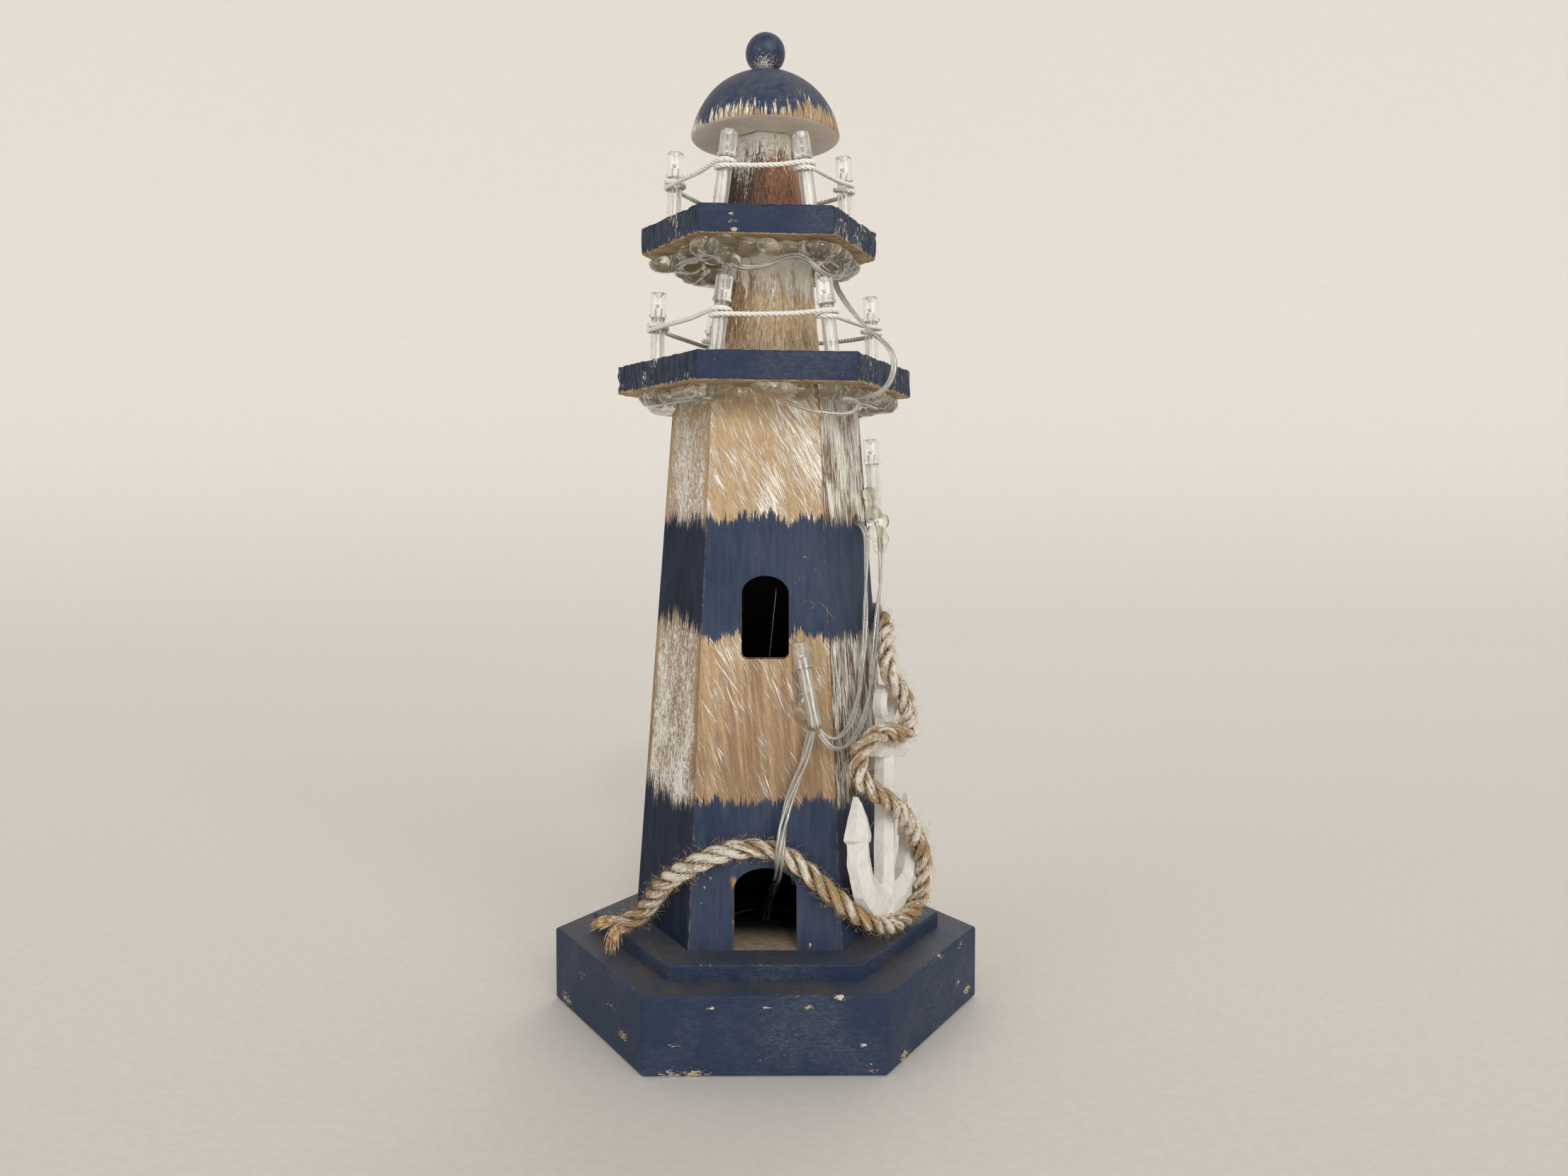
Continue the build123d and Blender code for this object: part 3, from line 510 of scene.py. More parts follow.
def strand_tree():
    """Twisted strands along a line, with how far along and around each point lies."""
    inputs = {
        "Strands": "Int", "Strand radius": "Float", "Lay radius": "Float", "Lay length": "Float",
        "Step": "Float", "Sides": "Int", "Material": "Material",
    }
    graph, given = new_tree("Twisted strands", inputs)
    along = graph.node("GeometryNodeSplineParameter", output="Length")
    line = graph.node(
        "GeometryNodeResampleCurve", {"mode": "LENGTH"},
        {"Curve": given.out("Geometry"), "Length": given.out("Step")},
    )
    turned = graph.node(
        "GeometryNodeSetCurveTilt", {},
        {"Curve": line, "Tilt": along * math.tau / given.out("Lay length")},
    )
    marked = stored(graph, turned, "along", along)
    circle = graph.node(
        "GeometryNodeCurvePrimitiveCircle", {"mode": "RADIUS"},
        {"Resolution": given.out("Sides"), "Radius": given.out("Strand radius")},
    )
    around = stored(graph, circle, "around", graph.node("GeometryNodeSplineParameter"))
    index = graph.node("GeometryNodeInputIndex")
    angle = index * math.tau / given.out("Strands")
    place = graph.join(
        angle.math("COSINE", angle) * given.out("Lay radius"),
        angle.math("SINE", angle) * given.out("Lay radius"),
        0.0,
    )
    spots = graph.node("GeometryNodePoints", {}, {"Count": given.out("Strands"), "Position": place})
    copies = graph.node(
        "GeometryNodeInstanceOnPoints", {},
        {"Points": spots, "Instance": around, "Rotation": graph.join(0.0, 0.0, angle + math.pi)},
    )
    named = stored(graph, copies, "strand", graph.node("GeometryNodeInputIndex"), "INSTANCE")
    section = graph.node("GeometryNodeRealizeInstances", {}, {"Geometry": named})
    swept = graph.node(
        "GeometryNodeCurveToMesh", {}, {"Curve": marked, "Profile Curve": section, "Fill Caps": True}
    )
    return close_tree(graph, swept, given.out("Material"))


def fibre_tree():
    """Loose bent fibres that stand on a surface."""
    inputs = {
        "Density": "Float", "Length": "Float", "Radius": "Float", "Seed": "Int",
        "Material": "Material",
    }
    graph, given = new_tree("Loose fibres", inputs)
    spots = graph.node(
        "GeometryNodeDistributePointsOnFaces", {},
        {"Mesh": given.out("Geometry"), "Density": given.out("Density"), "Seed": given.out("Seed")},
    )
    reach = given.out("Length")
    fibre = graph.node(
        "GeometryNodeCurveQuadraticBezier", {},
        {
            "Resolution": 4, "Start": (0.0, 0.0, 0.0),
            "Middle": graph.join(reach * 0.35, 0.0, reach * 0.42),
            "End": graph.join(reach * 0.95, reach * 0.2, reach * 0.3),
        },
    )
    section = graph.node(
        "GeometryNodeCurvePrimitiveCircle", {}, {"Resolution": 3, "Radius": given.out("Radius")}
    )
    hair = graph.node("GeometryNodeCurveToMesh", {}, {"Curve": fibre, "Profile Curve": section})
    sizes = graph.node(
        "FunctionNodeRandomValue", {"data_type": "FLOAT"},
        {2: 0.3, 3: 1.35, "Seed": given.out("Seed")}, 1,
    )
    stood = graph.node(
        "GeometryNodeInstanceOnPoints", {},
        {
            "Points": spots, "Instance": hair, "Rotation": spots.out("Rotation"),
            "Scale": graph.join(sizes, sizes, sizes),
        },
    )
    turns = graph.node(
        "FunctionNodeRandomValue", {"data_type": "FLOAT_VECTOR"},
        {0: (-0.9, -0.9, 0.0), 1: (0.9, 0.9, math.tau), "Seed": given.out("Seed")},
    )
    tossed = graph.node("GeometryNodeRotateInstances", {}, {"Instances": stood, "Rotation": turns})
    return close_tree(graph, tossed, given.out("Material"))


def twist(line, material, strands, strand_radius, lay_radius, lay_length, step, sides):
    """The mesh of a cord of twisted strands along a line."""
    values = {
        "Strands": strands, "Strand radius": strand_radius, "Lay radius": lay_radius,
        "Lay length": lay_length, "Step": step, "Sides": sides, "Material": material,
    }
    mesh = run_tree(line, bpy.data.node_groups["Twisted strands"], values)
    mesh.shade_smooth()
    return mesh


# Places worked out from the frame
def board_frame(node):
    """A board's outer face: its matrix (along, up, out), half its foot, half its head, its height."""
    points = [vertex.co for vertex in nodes[node].data.vertices]
    ends = []
    for level in (min(point.z for point in points), max(point.z for point in points)):
        edge = [point for point in points if abs(point.z - level) < 0.2 * MM]
        ends.append(max(((a, b) for a in edge for b in edge), key=lambda pair: (pair[0] - pair[1]).length))
    foot = (ends[0][0] + ends[0][1]) / 2
    head = (ends[1][0] + ends[1][1]) / 2
    up = (head - foot).normalized()
    along = (ends[0][1] - ends[0][0]).normalized()
    out = along.cross(up)
    if out.dot(foot * Vector((1, 1, 0))) < 0:
        along, out = -along, -out
    matrix = Matrix.Translation(foot) @ Matrix((along, up, out)).transposed().to_4x4()
    halves = [(b - a).length / 2 for a, b in ends]
    return matrix, halves[0], halves[1], (head - foot).length


def plan_corners(node, at_top):
    """The corners of a block's outline in plan, at its top or its foot, in turning order."""
    low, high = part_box(node)
    level = high.z if at_top else low.z
    band = 1.3 * MM
    points = [vertex.co.xy for vertex in nodes[node].data.vertices if abs(vertex.co.z - level) < band]
    hull = [points[index] for index in geometry.convex_hull_2d(points)]
    sides = sorted(zip(hull, hull[1:] + hull[:1]), key=lambda side: (side[0] - side[1]).length)
    lines = []
    for start, end in reversed(sides):
        ahead = end - start
        turns = [abs(ahead.angle_signed(other[1] - other[0], 0.0)) for other in lines]
        if ahead.length > MM and all(turn > math.radians(15) for turn in turns):
            lines.append((start, end))
    lines.sort(key=lambda side: math.atan2(side[1].y - side[0].y, side[1].x - side[0].x))
    corners = []
    for before, after in zip(lines, lines[1:] + lines[:1]):
        corners.append(geometry.intersect_line_line_2d(*stretched(*before), *stretched(*after)))
    return corners


def stretched(start, end):
    """A side made longer both ways, so that neighbours meet."""
    return start - (end - start), end + (end - start)


def lean_matrix(foot, axis):
    """A place at a lamp's foot with Z along the lamp."""
    turn = UP.rotation_difference(axis).to_matrix().to_4x4()
    return Matrix.Translation(foot) @ turn


def deck_lamps(circle, top, turn, shift, lean, side_lean):
    """Six lamp places near a deck's corners: front and rear pairs lean together, the sides less."""
    places = []
    for index in range(DECK_LAMPS):
        angle = math.tau * index / DECK_LAMPS + turn
        outward = Vector((math.cos(angle), math.sin(angle), 0))
        tip = lean if index % 3 else side_lean
        axis = Vector((-math.copysign(math.sin(tip), outward.x), 0, math.cos(tip)))
        places.append(lean_matrix(outward * circle + Vector((shift, 0, top)), axis))
    return places


def lamp_groups(sizes):
    """Lamp places by group, with the sleeve's tail and stem."""
    groups = {}
    for deck, shift in (("lower", 0), ("upper", sizes.upper_shift)):
        circle, turn, lean, stem = (
            getattr(sizes, f"{deck}_{part}") for part in ("circle", "turn", "lean", "stem")
        )
        low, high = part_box(f"{deck}_deck")
        places = deck_lamps(circle, high.z, turn, shift, lean, sizes.side_lean)
        groups[deck] = (places, (high.z - low.z) / math.cos(lean) + sizes.lamp_tail, stem)
    face = board_frame("front_panel")[0]
    window_foot = Vector((sizes.window_lamp_along, sizes.window_lamp_up, sizes.lamp_offset))
    lean = Matrix.Rotation(sizes.window_lamp_lean, 3, "Z") @ Vector((0, 1, 0))
    window = lean_matrix(face @ window_foot, face.to_3x3() @ lean)
    points = [vertex.co for vertex in nodes["front_right_panel"].data.vertices]
    low = min(point.z for point in points)
    high = max(point.z for point in points)
    foot = max((point for point in points if point.z < low + MM), key=lambda point: point.x)
    head = max((point for point in points if point.z > high - MM), key=lambda point: point.x)
    share = 1 - sizes.corner_lamp_drop / (high - low)
    corner_foot = foot + Vector((sizes.lamp_offset, 0, 0)) + (head - foot) * share
    corner = lean_matrix(corner_foot, (head - foot).normalized())
    groups["tower"] = ([window, corner], 0.0, sizes.tower_stem)
    return groups


# Finishes
def toned(colour, factor, lift=0.0):
    """A colour made darker or paler, no brighter than white."""
    return [min(1.0, value * factor + lift) for value in colour]


def streaks(finish, side, lift, lean, density, stretch, seed):
    """Noise drawn out along a line that leans from upright."""
    across = side * math.cos(lean) + lift * math.sin(lean)
    onward = lift * math.cos(lean) - side * math.sin(lean)
    return finish.spread(across * density, onward * stretch, seed, 4.0, 0.64)


def board_finish(name, look, colours, thick):
    """A tower board: navy and bare bands with brushed edges, grain, whitewash, worn corners and painted
    shade.
    """
    finish = Finish(name)
    matrix, foot, head, height = board_frame(look["node"])
    along, up, out = (matrix.col[index].xyz for index in range(3))
    local = finish.vector("SUBTRACT", finish.place, matrix.translation / MM)
    side = finish.dot(local, along)
    lift = finish.dot(local, up)
    proud = finish.dot(local, out)
    seed = look["seed"] * 17.3
    edge = foot / MM - lift * ((foot - head) / height) - abs(side)

    # Navy and bare bands with brushed edges
    cover = finish.spread(side * 0.12, lift * 0.06, seed + 4, 2.0)
    bristle = finish.spread(side * 2.2, lift * 0.05, seed, 4.0, 0.66)
    broad = finish.spread(side * 0.22, lift * 0.02, seed + 5, 1.0)
    level = lift - (bristle - 0.5) * look["bristle"] - (broad - 0.5) * look["broad"]
    low, middle, high = look["bands"]
    bare = level.rise(low - 0.25, low + 0.25) - level.rise(middle - 0.25, middle + 0.25)
    bare = bare + level.rise(high - 0.25, high + 0.25)

    # Bare wood: grain, whitewash with a painted shadow beside it, and pores
    bend = (cover - 0.5) * look["sway"]
    lean = math.radians(look["slant"])
    steep = math.radians(look["slant"] * 1.6 + 3)
    grain = streaks(finish, side + bend, lift, lean * 0.2, 0.5, 0.015, seed + 1)
    fine = streaks(finish, side + bend, lift, lean * 0.5, 4.8, 0.08, seed + 2)
    tone = (grain * 0.5 + fine * 0.5 + (lift - 90) * 0.0018).rise(0.38, 0.60)
    wood = finish.mix(look["brown"], look["raw"], tone)
    pore = streaks(finish, side, lift, lean * 0.5, 5.2, 0.5, seed + 8)
    wood = finish.mix(wood, colours.brown_wood, pore.rise(0.54, 0.63) * 0.65)
    thin = streaks(finish, side, lift, lean, look["fleck"], look["stretch"], seed)
    steeper = streaks(finish, side, lift, steep, look["fleck"] * 0.85, look["stretch"] * 0.8, seed + 9)
    hair = streaks(finish, side, lift, lean * 1.2, look["fleck"] * 1.6, look["stretch"] * 1.3, seed + 11)
    inner = (edge + (cover - 0.5) * 5).rise(0.0, look["margin"])
    chance = thin.highest(steeper).highest(hair) + (cover - 0.5) * 0.28
    chance = chance + (inner - 1) * 0.16 + (lift - 100) * look["climb"]
    wash = chance.rise(look["wash"], look["wash"] + 0.025)
    haze = chance.rise(look["wash"] - 0.2, look["wash"] + 0.1) * look["haze"]
    # A thin painted shadow beside each whitewash streak, as if cast by the raised paint
    crease = chance.rise(look["wash"] - 0.05, look["wash"] - 0.02) * look["crease"]
    wood = finish.mix(wood, toned(look["brown"], 0.45), crease)
    wood = finish.mix(wood, colours.whitewash, haze.highest(wash * 0.95))

    # Paint, and a crack in the board that has one
    brush = finish.spread(side * 0.8, lift * 0.09, seed + 6, 5.0, 0.62)
    # A board's navy may be darkened as a whole; on the front left board this is painted shade for the side
    # turned from the light
    fresh, dry = (toned(shade, look.get("dim", 1.0)) for shade in (colours.navy, colours.navy_dry))
    navy = finish.mix(fresh, dry, (brush * 0.55 + cover * 0.45).rise(0.30, 0.72))
    scratch = finish.spread(side * 1.7, lift * 0.8, seed + 7, 6.0, 0.76)
    scratch = (scratch + (cover - 0.5) * 0.5).rise(0.725, 0.76)
    navy = finish.mix(navy, colours.cream, scratch * 0.7)
    skin = finish.mix(navy, wood, bare)
    if "crack" in look:
        wander = (finish.spread(lift * 0.3, 0.0, seed, 3.0) - 0.5) * 3
        gap = abs(side - look["crack"][0] - (lift - look["crack"][1]) * 0.12 - wander)
        split = (1 - gap.rise(0.08, 0.2)) * (1 - abs(lift - look["crack"][1]).rise(6.0, 10.0))
        skin = finish.mix(skin, (0.004, 0.004, 0.005), split)

    # Chips, rubbed corners, cut faces, and the inside face painted near-black as painted shade
    for across, upward, reach, under in look.get("chips", ()):
        away = finish.join(side - across, (lift - upward) * 0.6, 0.0)
        away = finish.vector("LENGTH", away, away, "Value") * 0.5
        skin = finish.mix(skin, under, (pore * 1.5 + reach - away).rise(0.9, 0.96))
    rub = finish.cloud(finish.place, 0.5, 4.0, 0.65)
    skin = finish.mix(skin, look["raw"], (rub + 0.14 - edge * 0.35).rise(0.54, 0.70) * 0.2)
    skin = finish.mix((0.02, 0.015, 0.012), skin, edge.rise(0.02, 0.12))
    raw = finish.mix(colours.brown_wood, colours.raw_wood, fine.rise(0.4, 0.6))
    skin = finish.mix(raw, skin, proud.rise(-0.35, -0.12))
    depth = thick / MM
    # Painted shade: the inside face is near-black, for the unlit inside of the tower
    skin = finish.mix((0.010, 0.007, 0.006), skin, proud.rise(0.3 - depth, 1.6 - depth))
    relief = (fine * 0.5 + wash * 0.35 - pore * 0.3 + 0.4) * bare + brush * 0.5 * (1 - bare) - scratch * 0.2
    return finish.shade(
        Base_Color=skin, Roughness=0.56 + (fine - 0.5) * 0.3 + bare * 0.14,
        Normal=finish.bump(relief, 0.17), Specular_IOR_Level=look.get("sheen", 0.22),
    )


def paint_skin(finish, colours, level, edge, spots):
    """Colour, relief and roughness of worn navy: dusty where it lies level, chipped at edges and spots."""
    brush = finish.drawn((0.35, 0.35, 0.9), 6.0, 0.62)
    patch = finish.cloud(finish.place, 0.05, 3.0)
    skin = finish.mix(colours.navy, colours.navy_dry, (brush * 0.6 + patch * 0.4).rise(0.42, 0.78))
    dirt = finish.cloud(finish.place, 0.09, 6.0, 0.6)
    dusty = finish.mix(colours.navy_dry, colours.dust, (dirt * 0.6 + patch * 0.4).rise(0.34, 0.66))
    skin = finish.mix(skin, dusty, level * 0.85)
    scuff = finish.drawn((0.2, 0.2, 2.6), 5.0, 0.7)
    skin = finish.mix(skin, toned(colours.navy, 0.45), scuff.rise(0.54, 0.68) * 0.6)
    nick = finish.drawn((0.75, 0.75, 1.7), 6.0, 0.72)
    clump = finish.cloud(finish.place, 0.06, 1.0)
    rub = patch.rise(0.44, 0.62) * (nick * 0.6 + scuff * 0.4).rise(0.49, 0.58)
    skin = finish.mix(skin, colours.rubbed, rub * 0.4)
    chance = nick + (1 - edge.rise(0.1, 1.4)) * 0.05 + (clump - 0.5) * 0.3
    for spot, reach, strength in spots:
        away = finish.vector("SUBTRACT", finish.place, spot)
        away = finish.vector("MULTIPLY", away, (1.0, 1.0, 2.4))
        chance = chance + (1 - finish.vector("LENGTH", away, away, "Value").rise(0.0, reach)) * strength
    chip = chance.rise(0.692, 0.71)
    under = finish.mix(colours.cream, colours.raw_wood, clump.rise(0.35, 0.65))
    skin = finish.mix(skin, under, chip * 0.9)
    height = brush * 0.5 + nick * 0.2 - chip * 0.6
    return skin, height, 0.48 + dirt * 0.2 + chip * 0.2 + level * 0.1


def hexagon_finish(name, node, colours, spots=()):
    """Worn navy on a CAD hexagon with corners on X; bare floor in the tower, painted shade to its back; bare
    underside.
    """
    finish = Finish(name)
    low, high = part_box(node)
    x, y, z = finish.axes()
    half = math.sqrt(0.75)
    reach = abs(y).highest(abs(x * half + y * 0.5)).highest(abs(x * half - y * 0.5))
    rim = high.y / MM - reach
    top = high.z / MM - z
    edge = rim.highest(top.lowest(z - low.z / MM))
    level = (1 - top.rise(0.2, 0.5)) * rim.rise(0.2, 0.9)
    skin, height, roughness = paint_skin(finish, colours, level, edge, spots)
    grain = finish.drawn((0.25, 1.6, 0.0), 5.0, 0.6)
    floor = finish.mix((0.24, 0.18, 0.125), (0.46, 0.375, 0.285), grain.rise(0.36, 0.64))
    # Painted shade: the floor inside the tower turns near-black towards its back, where no light reaches
    floor = finish.mix(floor, (0.008, 0.006, 0.005), y.rise(-29.0, -12.0))
    skin = finish.mix(floor, skin, reach.rise(TOWER_INSIDE - 0.2, TOWER_INSIDE + 0.2))
    bare = finish.mix(colours.brown_wood, colours.raw_wood, grain.rise(0.34, 0.6))
    underside = (1 - (z - low.z / MM).rise(0.05, 0.3)) * rim.rise(0.6, 1.2)
    skin = finish.mix(skin, bare, underside)
    return finish.shade(
        Base_Color=skin, Roughness=roughness, Normal=finish.bump(height, 0.16), Specular_IOR_Level=0.25
    )


def block_finish(name, colours, spots):
    """Worn navy on a deck, with raw wood under it and dark, gouged end grain on its sides."""
    finish = Finish(name)
    edge = finish.attribute("edge")
    facing = finish.attribute("facing")
    rough = finish.attribute("end_grain")
    rise = finish.attribute("rise")
    skin, height, roughness = paint_skin(finish, colours, facing.rise(0.5, 0.9), edge + 0.8, spots)
    gouge = finish.drawn((0.8, 0.8, 0.22), 6.0, 0.68)
    deep = toned(colours.navy, 0.4)
    skin = finish.mix(skin, finish.mix(deep, colours.navy_dry, gouge.rise(0.36, 0.66)), rough * 0.8)
    fleck = finish.drawn((1.1, 1.1, 0.5), 6.0, 0.74)
    clump = finish.cloud(finish.place, 0.07, 2.0)
    chip = rough * (fleck + (clump - 0.5) * 0.5).rise(0.635, 0.66)
    skin = finish.mix(skin, colours.cream, chip * 0.9)
    grain = finish.drawn((0.18, 1.5, 2.0), 5.0, 0.6)
    raw = finish.mix(colours.brown_wood, colours.raw_wood, grain.rise(0.34, 0.6))
    ragged = finish.drawn((0.9, 0.9, 0.0), 5.0, 0.68) - 0.5
    limit = 0.28 + rough * 0.35 + ragged * (0.9 + rough * 4.0)
    bare = (limit - rise).rise(-0.12, 0.12)
    bare = bare.highest((0.0 - facing).rise(0.3, 0.7))
    skin = finish.mix(skin, raw, bare)
    relief = height + gouge * rough * 1.2 + grain * bare * 0.5
    return finish.shade(
        Base_Color=skin, Roughness=roughness, Normal=finish.bump(relief, 0.2), Specular_IOR_Level=0.25
    )


def column_finish(name, colours, look):
    """Stained wood with fine upright grain, painted light and shade across it, whitewash run down from the
    top and a speckled foot.
    """
    finish = Finish(name)
    rise = finish.attribute("rise")
    drop = finish.attribute("drop")
    grain = finish.drawn((2.2, 2.2, 0.04), 5.0, 0.64)
    broad = finish.drawn((0.14, 0.14, 0.02), 2.0)
    # Painted light and shade: the wood is paler towards the given lit side and darker away from it
    side = finish.dot(finish.place, look["light_side"])
    tone = (grain - 0.5) * 0.9 + (broad - 0.5) * 0.5 + side * 0.016 + 0.45
    wood = finish.mix(look["dark"], look["mid"], tone.rise(0.26, 0.44))
    wood = finish.mix(wood, look["light"], tone.rise(0.44, 0.66))
    line = finish.drawn((4.6, 4.6, 0.10), 3.0, 0.6)
    wood = finish.mix(wood, look["dark"], line.rise(0.51, 0.62) * 0.7)
    run = finish.drawn((3.6, 3.6, 0.05), 4.0, 0.68)
    wide = finish.drawn((0.4, 0.4, 0.03), 2.0)
    reach = drop / look["run"]
    white = (run * 0.9 + wide * 0.4 - 0.09 - reach * 0.24 + look["top"]).rise(0.50, 0.60)
    cross = finish.drawn((0.5, 0.5, 2.4), 5.0, 0.7)
    white = white * (1 - (cross * 0.6 + line * 0.4).rise(0.50, 0.58) * 0.3)
    hair = finish.drawn((4.0, 4.0, 0.22), 4.0, 0.7)
    white = white.highest((hair + (wide - 0.5) * 0.3).rise(look["hair"], look["hair"] + 0.05))
    speck = finish.cloud(finish.place, 1.6, 5.0, 0.74)
    white = white.highest((speck + 0.10 - rise * 0.03).rise(0.56, 0.61) * 0.9)
    skin = finish.mix(wood, colours.whitewash, white * 0.94)
    relief = grain * 0.5 + line * 0.3 + white * 0.5 + speck * 0.2
    return finish.shade(
        Base_Color=skin, Roughness=0.6 + (grain - 0.5) * 0.4, Normal=finish.bump(relief, 0.16),
        Specular_IOR_Level=0.3,
    )


def dome_finish(name, colours):
    """Navy over raw wood: upright strokes run out above the rim; the underside is taupe, painted paler as
    painted light.
    """
    finish = Finish(name)
    x, y, z = finish.axes()
    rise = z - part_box("dome_roof")[0].z / MM
    turn = x.math("ARCTAN2", y, x)
    stroke = finish.spread(turn * 26.0, z * 0.12, 3.0, 4.0, 0.68)
    broad = finish.spread(x * 0.10, y * 0.10, 5.0, 2.0)
    line = finish.spread(turn * 70.0, z * 0.25, 4.0, 3.0, 0.62)
    bare = stroke + (line - 0.5) * 0.3 + (broad - 0.5) * 0.7 + x * 0.003 - rise * 0.050
    bare = bare.rise(0.31, 0.35)
    brush = finish.drawn((0.5, 0.5, 0.9), 6.0, 0.62)
    navy = finish.mix(colours.navy, colours.navy_dry, (brush * 0.6 + broad * 0.4).rise(0.30, 0.62))
    navy = finish.mix(navy, colours.rubbed, (brush * 0.4 + line * 0.3 + broad * 0.3).rise(0.46, 0.60) * 0.4)
    fleck = finish.spread(turn * 30.0, z * 0.5, 7.0, 6.0, 0.75)
    fleck = (fleck - rise * 0.018).rise(0.60, 0.64)
    navy = finish.mix(navy, colours.cream, fleck * 0.85)
    wood = finish.mix(colours.brown_wood, colours.raw_wood, (line * 0.6 + stroke * 0.4).rise(0.38, 0.58))
    white = (line * 0.6 + stroke * 0.4 - x * 0.004 + rise * 0.01).rise(0.54, 0.60)
    wood = finish.mix(wood, colours.whitewash, white * 0.9)
    skin = finish.mix(navy, wood, bare)
    # The underside's taupe is paler than the wood's own colour: painted light standing in for light from
    # below
    taupe_painted_light = finish.mix((0.64, 0.56, 0.48), (0.80, 0.73, 0.64), (brush * 0.5 + broad * 0.5).rise(0.3, 0.7))
    skin = finish.mix(taupe_painted_light, skin, rise.rise(0.05, 0.25))
    return finish.shade(
        Base_Color=skin, Roughness=0.48 + bare * 0.25 + (brush - 0.5) * 0.3,
        Normal=finish.bump(brush * 0.5 + stroke * bare - bare * 0.3, 0.15), Specular_IOR_Level=0.3,
    )


def ball_finish(name, colours):
    """Navy ball with a cluster of pale specks low on its front."""
    finish = Finish(name)
    low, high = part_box("ball_finial")
    middle = (low + high) / 2 / MM
    spot = middle + Vector((-0.6, -3.4, -5.6))
    near = finish.vector("DISTANCE", finish.place, spot, "Value")
    brush = finish.cloud(finish.place, 0.5, 5.0, 0.6)
    speck = finish.cloud(finish.place, 2.2, 4.0, 0.66)
    skin = finish.mix(colours.navy, colours.navy_dry, brush.rise(0.34, 0.7))
    chip = (speck + 0.10 - near * 0.05).rise(0.47, 0.50)
    skin = finish.mix(skin, colours.whitewash, chip * 0.92)
    return finish.shade(
        Base_Color=skin, Roughness=0.4 + (brush - 0.5) * 0.4, Normal=finish.bump(brush - chip * 0.5, 0.1),
        Specular_IOR_Level=0.35,
    )


def chalk_finish(colours):
    """Chalky white paint with rubbed ridges and small dark nicks."""
    finish = Finish("chalk_paint")
    brush = finish.drawn((0.9, 0.9, 0.35), 5.0, 0.65)
    patch = finish.cloud(finish.place, 0.2, 3.0)
    nick = finish.cloud(finish.place, 1.1, 5.0, 0.7).rise(0.71, 0.75)
    shadow = toned(colours.chalk, 0.84)
    skin = finish.mix(shadow, colours.chalk, (brush * 0.6 + patch * 0.4).rise(0.34, 0.58))
    skin = finish.mix(skin, colours.brown_wood, nick * 0.7)
    return finish.shade(
        Base_Color=skin, Roughness=0.72 + (patch - 0.5) * 0.3,
        Normal=finish.bump(brush - nick * 0.5, 0.18),
    )


def plain_wood_finish(name, colours):
    """Bare dowel wood with long grain."""
    finish = Finish(name)
    grain = finish.drawn((1.6, 1.6, 0.08), 5.0, 0.6)
    skin = finish.mix(colours.brown_wood, colours.raw_wood, grain.rise(0.3, 0.55))
    return finish.shade(Base_Color=skin, Roughness=0.6 + grain * 0.2, Normal=finish.bump(grain, 0.1))


def clear_finish(name, colour, roughness, transmission, bend, depth=0.08):
    """A clear plastic or glue with ripples, cloudy patches and a glossy skin."""
    finish = Finish(name)
    ripple = finish.cloud(finish.place, 0.35, 3.0)
    fine = finish.cloud(finish.place, 1.6, 3.0)
    pale = toned(colour, 1.08)
    skin = finish.mix(colour, pale, ripple.rise(0.4, 0.6))
    return finish.shade(
        Base_Color=skin, Roughness=roughness + (fine - 0.5) * roughness,
        Normal=finish.bump(ripple + fine * 0.3, depth), Transmission_Weight=transmission, IOR=bend,
        Coat_Weight=1.0, Coat_Roughness=0.05,
    )


def metal_finish(name, colour, roughness, metallic=1.0):
    """Drawn metal with fine scratches."""
    finish = Finish(name)
    scratch = finish.drawn((4.0, 4.0, 0.3), 4.0)
    dull = toned(colour, 0.7)
    skin = finish.mix(dull, colour, scratch.rise(0.3, 0.6))
    return finish.shade(
        Base_Color=skin, Metallic=metallic, Roughness=roughness + (scratch - 0.5) * 0.3,
        Normal=finish.bump(scratch, 0.02),
    )


def plastic_finish(name, colour, grain_depth):
    """Moulded plastic with a fine spark-eroded texture and slight scuffs."""
    finish = Finish(name)
    grit = finish.cloud(finish.place, 3.5, 3.0)
    scuff = finish.cloud(finish.place, 0.12, 5.0, 0.7)
    pale = toned(colour, 1.5, 0.02)
    skin = finish.mix(colour, pale, scuff.rise(0.5, 0.75))
    return finish.shade(
        Base_Color=skin, Roughness=0.42 + scuff * 0.25, Normal=finish.bump(grit, grain_depth)
    )


def fibre_finish(name, colours, look):
    """Twisted fibre: fine threads that wind round each strand, painted shade between strands, pale crowns.
    """
    finish = Finish(name)
    along = finish.attribute("along") * (1 / MM)
    around = finish.attribute("around")
    strand = finish.attribute("strand")
    crown = 0.0 - (around * math.tau).math("COSINE", around * math.tau)
    wind = around * look["threads"] + along * look["wind"]
    thread = finish.spread(wind, along * 0.05, strand * 7.0, 4.0, 0.7)
    patch = finish.cloud(finish.place, 0.09, 3.0)
    tone = (thread * 0.8 + patch * 0.3).rise(0.44, 0.66)
    skin = finish.mix(look["base"], look["pale"], tone)
    # Painted shade: the colour turns to the deep tone where a strand faces in, between the strands
    skin = finish.mix(look["deep"], skin, (crown + (thread - 0.5) * 1.6).rise(-0.55, 0.45))
    speck = finish.cloud(finish.place, 0.9, 4.0, 0.7)
    white = (thread * 0.55 + speck * 0.45 + (patch - 0.5) * 0.6 + crown * 0.07).rise(
        look["white"], look["white"] + 0.07
    )
    skin = finish.mix(skin, colours.whitewash, white * 0.9)
    return finish.shade(
        Base_Color=skin, Roughness=0.85 + (thread - 0.5) * 0.2,
        Normal=finish.bump(thread + white * 0.2, look["depth"]), Specular_IOR_Level=0.2,
    )


